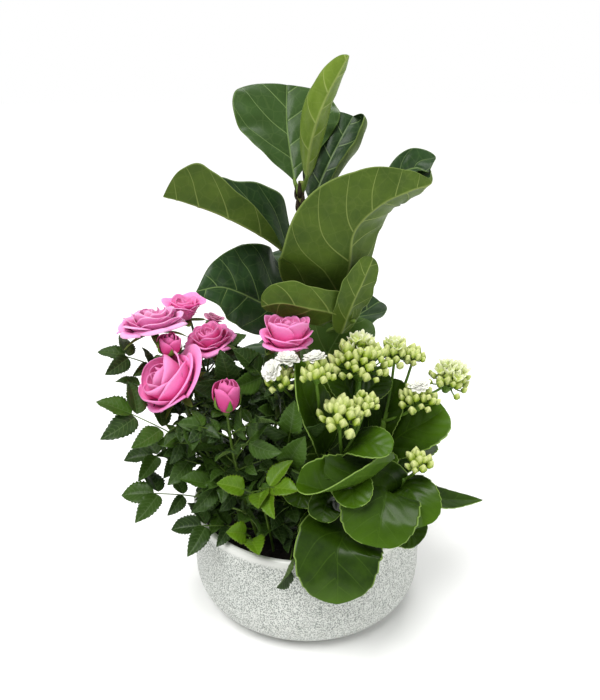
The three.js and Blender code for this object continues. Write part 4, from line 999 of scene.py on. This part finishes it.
kalanchoe_stem(5, [[60, -54, 64], [60, -54, 84], [66, -58, 116], [76, -62, 146]], [
    ([[66, -58, 120], [60, -82, 146], [54, -103, 137], [50, -114, 119]], (54, 66), [0, -0.7, 0.7],
     dict(curl=0.2, wave=0.05)),
    ([[72, -60, 136], [78, -76, 144], [83, -88, 137], [87, -95, 124]], 38, [0.1, -0.7, 0.7], dict(curl=0.2)),
    # The big leaf hanging over the front rim: its tint stays below zero over most of its length, so its upper
    # part keeps the plain deep green as a painted shadow of the leaves above, and only its tip is lighter
    ([[60, -54, 92], [36, -80, 112], [23, -104, 112], [22, -116, 91], [22, -119, 72]], 66, [0, -0.3, 1],
     dict(face_tip=[0, -1, 0.2], fold=0.1, outline=((0.72, 0.72), (0.72, 0.66)), tint=(-1.6, 0.6))),
    ([[72, -60, 128], [92, -46, 120], [118, -34, 108], [150, -24, 101]], 28, [0.1, -0.3, 0.9],
     dict(outline=(0.5, 0.9))),
    ([[62, -55, 98], [76, -70, 106], [88, -80, 98]], 34, [0, -0.6, 0.8]),
], [[[76, -62, 144], [82, -68, 154], [84, -70, 160]]])

# ------------------------------------------------------------------ kalanchoe flower heads
# Domes of plump four-lobed buds, lime at the foot and cream at the tip, each on a short stalk
# that leaves the top of the flower stalk. Three heads carry open double white florets.

# Grains of colour to a metre of bud: one each 1.4 mm
BUD_GRAINS = 700.0
GOLDEN_TURN = 2.4


def bud_finish(name, foot, belly, tip, seam_and_shade_strength, soft=0.2):
    """Waxy bud or floret petal: the along tag runs from its foot to its tip, and the edge tag is
    1 where two petals meet or at a petal's margin. Where that tag is high on a bud, the colour
    goes towards the foot green: partly the bud's own green seam, partly painted shade in the
    groove between two lobes."""
    tree, shader, material = finish(name)
    at = add(tree, "TexCoord").outputs["Object"]
    along, tint, edge = [
        add(tree, "Attribute", {"attribute_name": tag}).outputs["Fac"] for tag in ("along", "tint", "edge")
    ]
    low = add(tree, "MapRange", {"From Min": 0.0, "From Max": 0.35}, {"Value": along})
    high = add(tree, "MapRange", {"From Min": 0.45, "From Max": 1.0}, {"Value": along})
    grain = add(tree, "TexNoise", {"Scale": BUD_GRAINS, "Detail": 3.0}, {"Vector": at})
    shade = add(tree, "MapRange", {"To Min": 0.0, "To Max": 0.25}, {"Value": grain})
    # Seam and painted shade: the grooves between a bud's lobes are darkened towards the foot green
    seam_and_shade = add(tree, "MapRange", {"From Min": 0.4, "From Max": 1.0, "To Max": seam_and_shade_strength}, {"Value": edge})
    colour = add(tree, "Mix", {"data_type": "RGBA", A: linear(foot), B: linear(belly)}, {0: low})
    for share, layer in ((high, tip), (tint, tip), (shade, foot), (seam_and_shade, foot)):
        colour = add(tree, "Mix", {"data_type": "RGBA", B: linear(layer)}, {0: share, A: colour})
    rough = add(tree, "MapRange", {"To Min": 0.35, "To Max": 0.6}, {"Value": grain})
    fit(tree, shader,
        {"IOR": 1.42, "Specular IOR Level": 0.4, "Coat Weight": 0.08, "Coat Roughness": 0.25,
         "Subsurface Weight": soft, "Subsurface Radius": (0.9, 1.0, 0.8), "Subsurface Scale": 2.0 * MM},
        {"Base Color": colour, "Roughness": rough})
    return material


# Bud: waxy, lime green with a cream tip and dark seams, which are partly its own green seams
# and partly painted shade in the grooves. Floret petals: cream or white, soft
bud_lime = bud_finish("waxy_lime_bud", "#4b6f0c", "#9fb52c", "#f0f2ae", 0.85)
floret_cream = bud_finish("cream_floret_petal", "#8cab2c", "#d3e07e", "#f9fadc", 0.0, 0.4)
floret_white = bud_finish("white_floret_petal", "#f4f5d8", "#fffff8", "#fffffa", 0.0, 0.25)


def bud(root, tip, radius, tint):
    """A closed bud: a lathe about root to tip, four-lobed and a little twisted, with a short
    collar of sepals at its foot and a pointed tip."""
    root, tip = np.asarray(root, float), np.asarray(tip, float)
    x, y, a = flower_axes(tip - root)
    h = np.linalg.norm(tip - root)
    t = np.array([0, 0, 0.09, 0.15, 0.3, 0.47, 0.64, 0.8, 0.92, 1.0])
    r = radius * np.array([0.3, 0.5, 0.9, 0.93, 1.1, 1.04, 0.84, 0.56, 0.28, 0.0])
    w = np.linspace(0, 2 * np.pi, 8, endpoint=False)
    ridge = np.cos(4 * w + 2 * t[:, None])
    lobes = 1 + 0.18 * ridge * (t[:, None] > 0.12)
    ring = x * np.cos(w)[:, None] + y * np.sin(w)[:, None]
    rings = root + a * (h * t)[:, None, None] + ring * (r[:, None] * lobes)[..., None]
    return loft(rings, {"along": t[:, None], "edge": 0.5 - 0.5 * ridge, "tint": tint})


def floret(centre, axis, radius, seed, whorls, slot=0, broad=0.6):
    """A floret: whorls of pointed petals, `broad` times as wide as the radius, each with its
    tilt from the axis, its count and its length as a share of the radius."""
    centre = np.asarray(centre, float)
    x, y, a = flower_axes(axis)
    rng = np.random.default_rng(seed)
    skins = []
    for tilt, count, share in whorls:
        for j in range(count):
            w = 2 * np.pi * (j + rng.uniform(-0.2, 0.2)) / count + tilt
            out = x * math.cos(w) + y * math.sin(w)
            lean = tilt * rng.uniform(0.88, 1.08)
            d = out * math.sin(lean) + a * math.cos(lean)
            reach = radius * share * rng.uniform(0.9, 1.05)
            path = [centre, centre + d * reach * 0.5, centre + d * reach + a * reach * 0.08]
            face = a * math.sin(lean) - out * math.cos(lean) * 0.8
            skins.append(blade(path, radius * broad, face, curl=0.4, outline=(0.62, 0.5), rows=6, cols=4,
                               pairs=1, thickness=0.3, slots=(slot, slot, slot)))
    return skins


DOUBLE = [(1.62, 10, 1.0), (1.45, 9, 0.98), (1.26, 9, 0.9), (1.05, 8, 0.8), (0.8, 6, 0.66), (0.45, 4, 0.55)]
OPENING = [(0.5, 5, 1.0)]


def head_axes(at, axis, radius):
    """Foot of a head, 0.4 of its radius below its middle, and its directions."""
    a = unit(np.asarray(axis, float))
    x = unit(np.cross([0.0, 1.0, 0.0], a))
    return np.asarray(at, float) - a * radius * 0.4, x, np.cross(a, x), a


def core(u):
    """Swelling of the head's core: widest halfway, and under half as wide at both ends."""
    return np.interp(u, [0, 0.5, 1], [0.4, 1.0, 0.35])


def head(number, at, radius, count, size, opening=0, axis=(0, -0.15, 1)):
    """A head: `count` buds on a sunflower spiral, highest and biggest in the middle, each on its
    stalklet. The first `opening` of them have begun to open."""
    foot, x, y, a = head_axes(at, axis, radius)
    rng = np.random.default_rng(70 + number)
    core_path = [foot - a, foot + a * radius * 0.3, foot + a * radius * 0.7]
    skins = [tube(core_path, radius * 0.3, radius * 0.3, 8, 10, core, slot=1)]
    for i in range(count):
        out = math.sqrt((i + 0.4) / count)
        w = i * GOLDEN_TURN + number
        u = x * math.cos(w) + y * math.sin(w)
        high = radius * (1.25 - 0.85 * out * out + 0.3 * rng.uniform())
        grown = rng.uniform(0.72, 1.15) * (1.15 - 0.4 * out)
        tip = foot + u * out * radius * 0.95 + a * high
        d = unit(u * out * 0.7 + a + rng.uniform(-0.25, 0.25, 3))
        root = tip - d * size * 3.0 * grown
        start = foot + u * out * radius * 0.3 + a * radius * (0.45 - 0.12 * out)
        if i < opening:
            skins += floret(root, d, size * 3.3, 100 * number + i, OPENING, 2, 0.4)
            tip = root + d * size * 1.6
        skins.append(bud(root, tip, size * grown, 0.6 * rng.uniform() ** 2))
        skins.append(tube([start, (start + root) / 2 - a * 0.5, root + d * 0.5], 0.7, 0.6, 4, 5, slot=1))
    finishes = [bud_lime, plump_stem, floret_cream]
    piece(f"kalanchoe_buds_{number}", skins, finishes, f"kalanchoe_head_{number}")


def open_florets(number, at, axis, radius, count, size):
    """Open florets over a head, each at the tip of its own stalklet."""
    foot, x, y, a = head_axes(at, axis, radius)
    skins = []
    for i in range(count):
        out = math.sqrt((i + 0.3) / count)
        w = i * GOLDEN_TURN + number
        u = x * math.cos(w) + y * math.sin(w)
        tip = foot + u * out * radius * 0.8 + a * radius * (0.8 - 0.5 * out * out)
        skins += floret(tip, unit(u * out + a), size, 10 * number + i, DOUBLE)
        skins.append(tube([foot + a * radius * 0.1, (foot + tip) / 2, tip], 0.8, 0.7, 4, 5, slot=1))
    finishes = [floret_white, plump_stem]
    name = f"kalanchoe_open_florets_{number}"
    piece(name, skins, finishes, f"kalanchoe_florets_{number}")


head(1, [-20, -67, 230], 15, 20, 3.1)
head(2, [6, -76, 240], 15, 22, 3.3)
head(3, [39, -44, 233], 27, 74, 3.4, 9)
head(4, [68, -28, 236], 16, 26, 3.2, 5)
head(5, [83, -22, 231], 12, 18, 3.1)
head(6, [113, -22, 210], 20, 34, 3.3, 13, (0.25, -0.15, 1))
head(7, [86, -44, 204], 18, 32, 3.3)
head(8, [23, -80, 207], 19, 26, 4.0)
head(9, [42, -70, 212], 13, 20, 3.1)
head(10, [84, -70, 163], 14, 18, 3.4)
open_florets(1, [-17, -70, 243], [-0.1, -0.5, 1], 14, 2, 9.5)
open_florets(2, [6, -77, 249], [0, -0.4, 1], 8, 1, 9.5)
open_florets(3, [88, -47, 216], [0.3, -0.5, 1], 8, 1, 9.0)

# ------------------------------------------------------------------ floor, light and camera
# A plain pale floor under soft studio light, seen from in front of the bowl, a little left of its
# middle, looking down. Places and distances are metres here, but for the sensor's millimetres.

CAMERA_PLACE = (-0.0061, -0.560, 0.449)
CAMERA_DOWN = math.radians(21.4)
FOCAL_PIXELS = 732
IMAGE_HEIGHT = 700
SENSOR = 36.0
FLOOR_RADIUS = 9.0
FLOOR_SIDES = 48

# Pale matt floor, with clouds of a third of a metre that hardly show
tree, shader, floor_finish = finish("pale_floor")
place = add(tree, "TexCoord").outputs["Object"]
cloud = add(tree, "TexNoise", {"Scale": 3.0}, {"Vector": place})
colour = add(tree, "Mix", {"data_type": "RGBA", A: linear("#fafaf8"), B: linear("#fefefd")}, {0: cloud})
fit(tree, shader, {"Specular IOR Level": 0.1}, {"Base Color": colour})
floor_mesh = bpy.data.meshes.new("floor")
angles = np.linspace(0, 2 * np.pi, FLOOR_SIDES, endpoint=False)
floor_corners = [(FLOOR_RADIUS * math.cos(w), FLOOR_RADIUS * math.sin(w), 0.0) for w in angles]
floor_mesh.from_pydata(floor_corners, [], [list(range(FLOOR_SIDES))])
floor_mesh.materials.append(floor_finish)
floor = bpy.data.objects.new("floor", floor_mesh)
bpy.context.collection.objects.link(floor)

world = bpy.data.worlds.new("studio")
world.use_nodes = True
tree = world.node_tree
ray = add(tree, "LightPath").outputs["Is Camera Ray"]
glow = add(tree, "MapRange", {"To Min": 0.45, "To Max": 1.0}, {"Value": ray})
fit(tree, tree.nodes["Background"], {"Color": (1.0, 1.0, 1.0, 1.0)}, {"Strength": glow})
bpy.context.scene.world = world


def soft_light(name, kind, place, aim, power, **size):
    """A light of one kind at a place, turned to look at a point, with its size."""
    lamp = bpy.data.lights.new(name, kind)
    lamp.energy = power
    for key, value in size.items():
        setattr(lamp, key, value)
    made = bpy.data.objects.new(name, lamp)
    toward = unit(np.array(aim) - place)
    made.location = place
    made.rotation_euler = (math.acos(-toward[2]), 0, math.atan2(toward[1], toward[0]) - math.pi / 2)
    bpy.context.collection.objects.link(made)


soft_light("key", "SUN", np.array([-0.75, -1.0, 2.6]), [0, 0, 0.2], 2.7, angle=math.radians(35))
soft_light("fill", "AREA", np.array([1.3, -0.9, 0.7]), [0, 0, 0.2], 5, size=1.0)
soft_light("rim", "AREA", np.array([0.3, 0.8, 1.2]), [0, 0, 0.3], 7, size=0.8)

lens = bpy.data.cameras.new("camera")
lens.sensor_width = SENSOR
lens.lens = FOCAL_PIXELS / IMAGE_HEIGHT * SENSOR
lens.clip_start = 0.01
camera = bpy.data.objects.new("camera", lens)
camera.location = CAMERA_PLACE
camera.rotation_euler = (math.pi / 2 - CAMERA_DOWN, 0, 0)
bpy.context.collection.objects.link(camera)
bpy.context.scene.camera = camera
bpy.context.scene.view_settings.view_transform = "Standard"
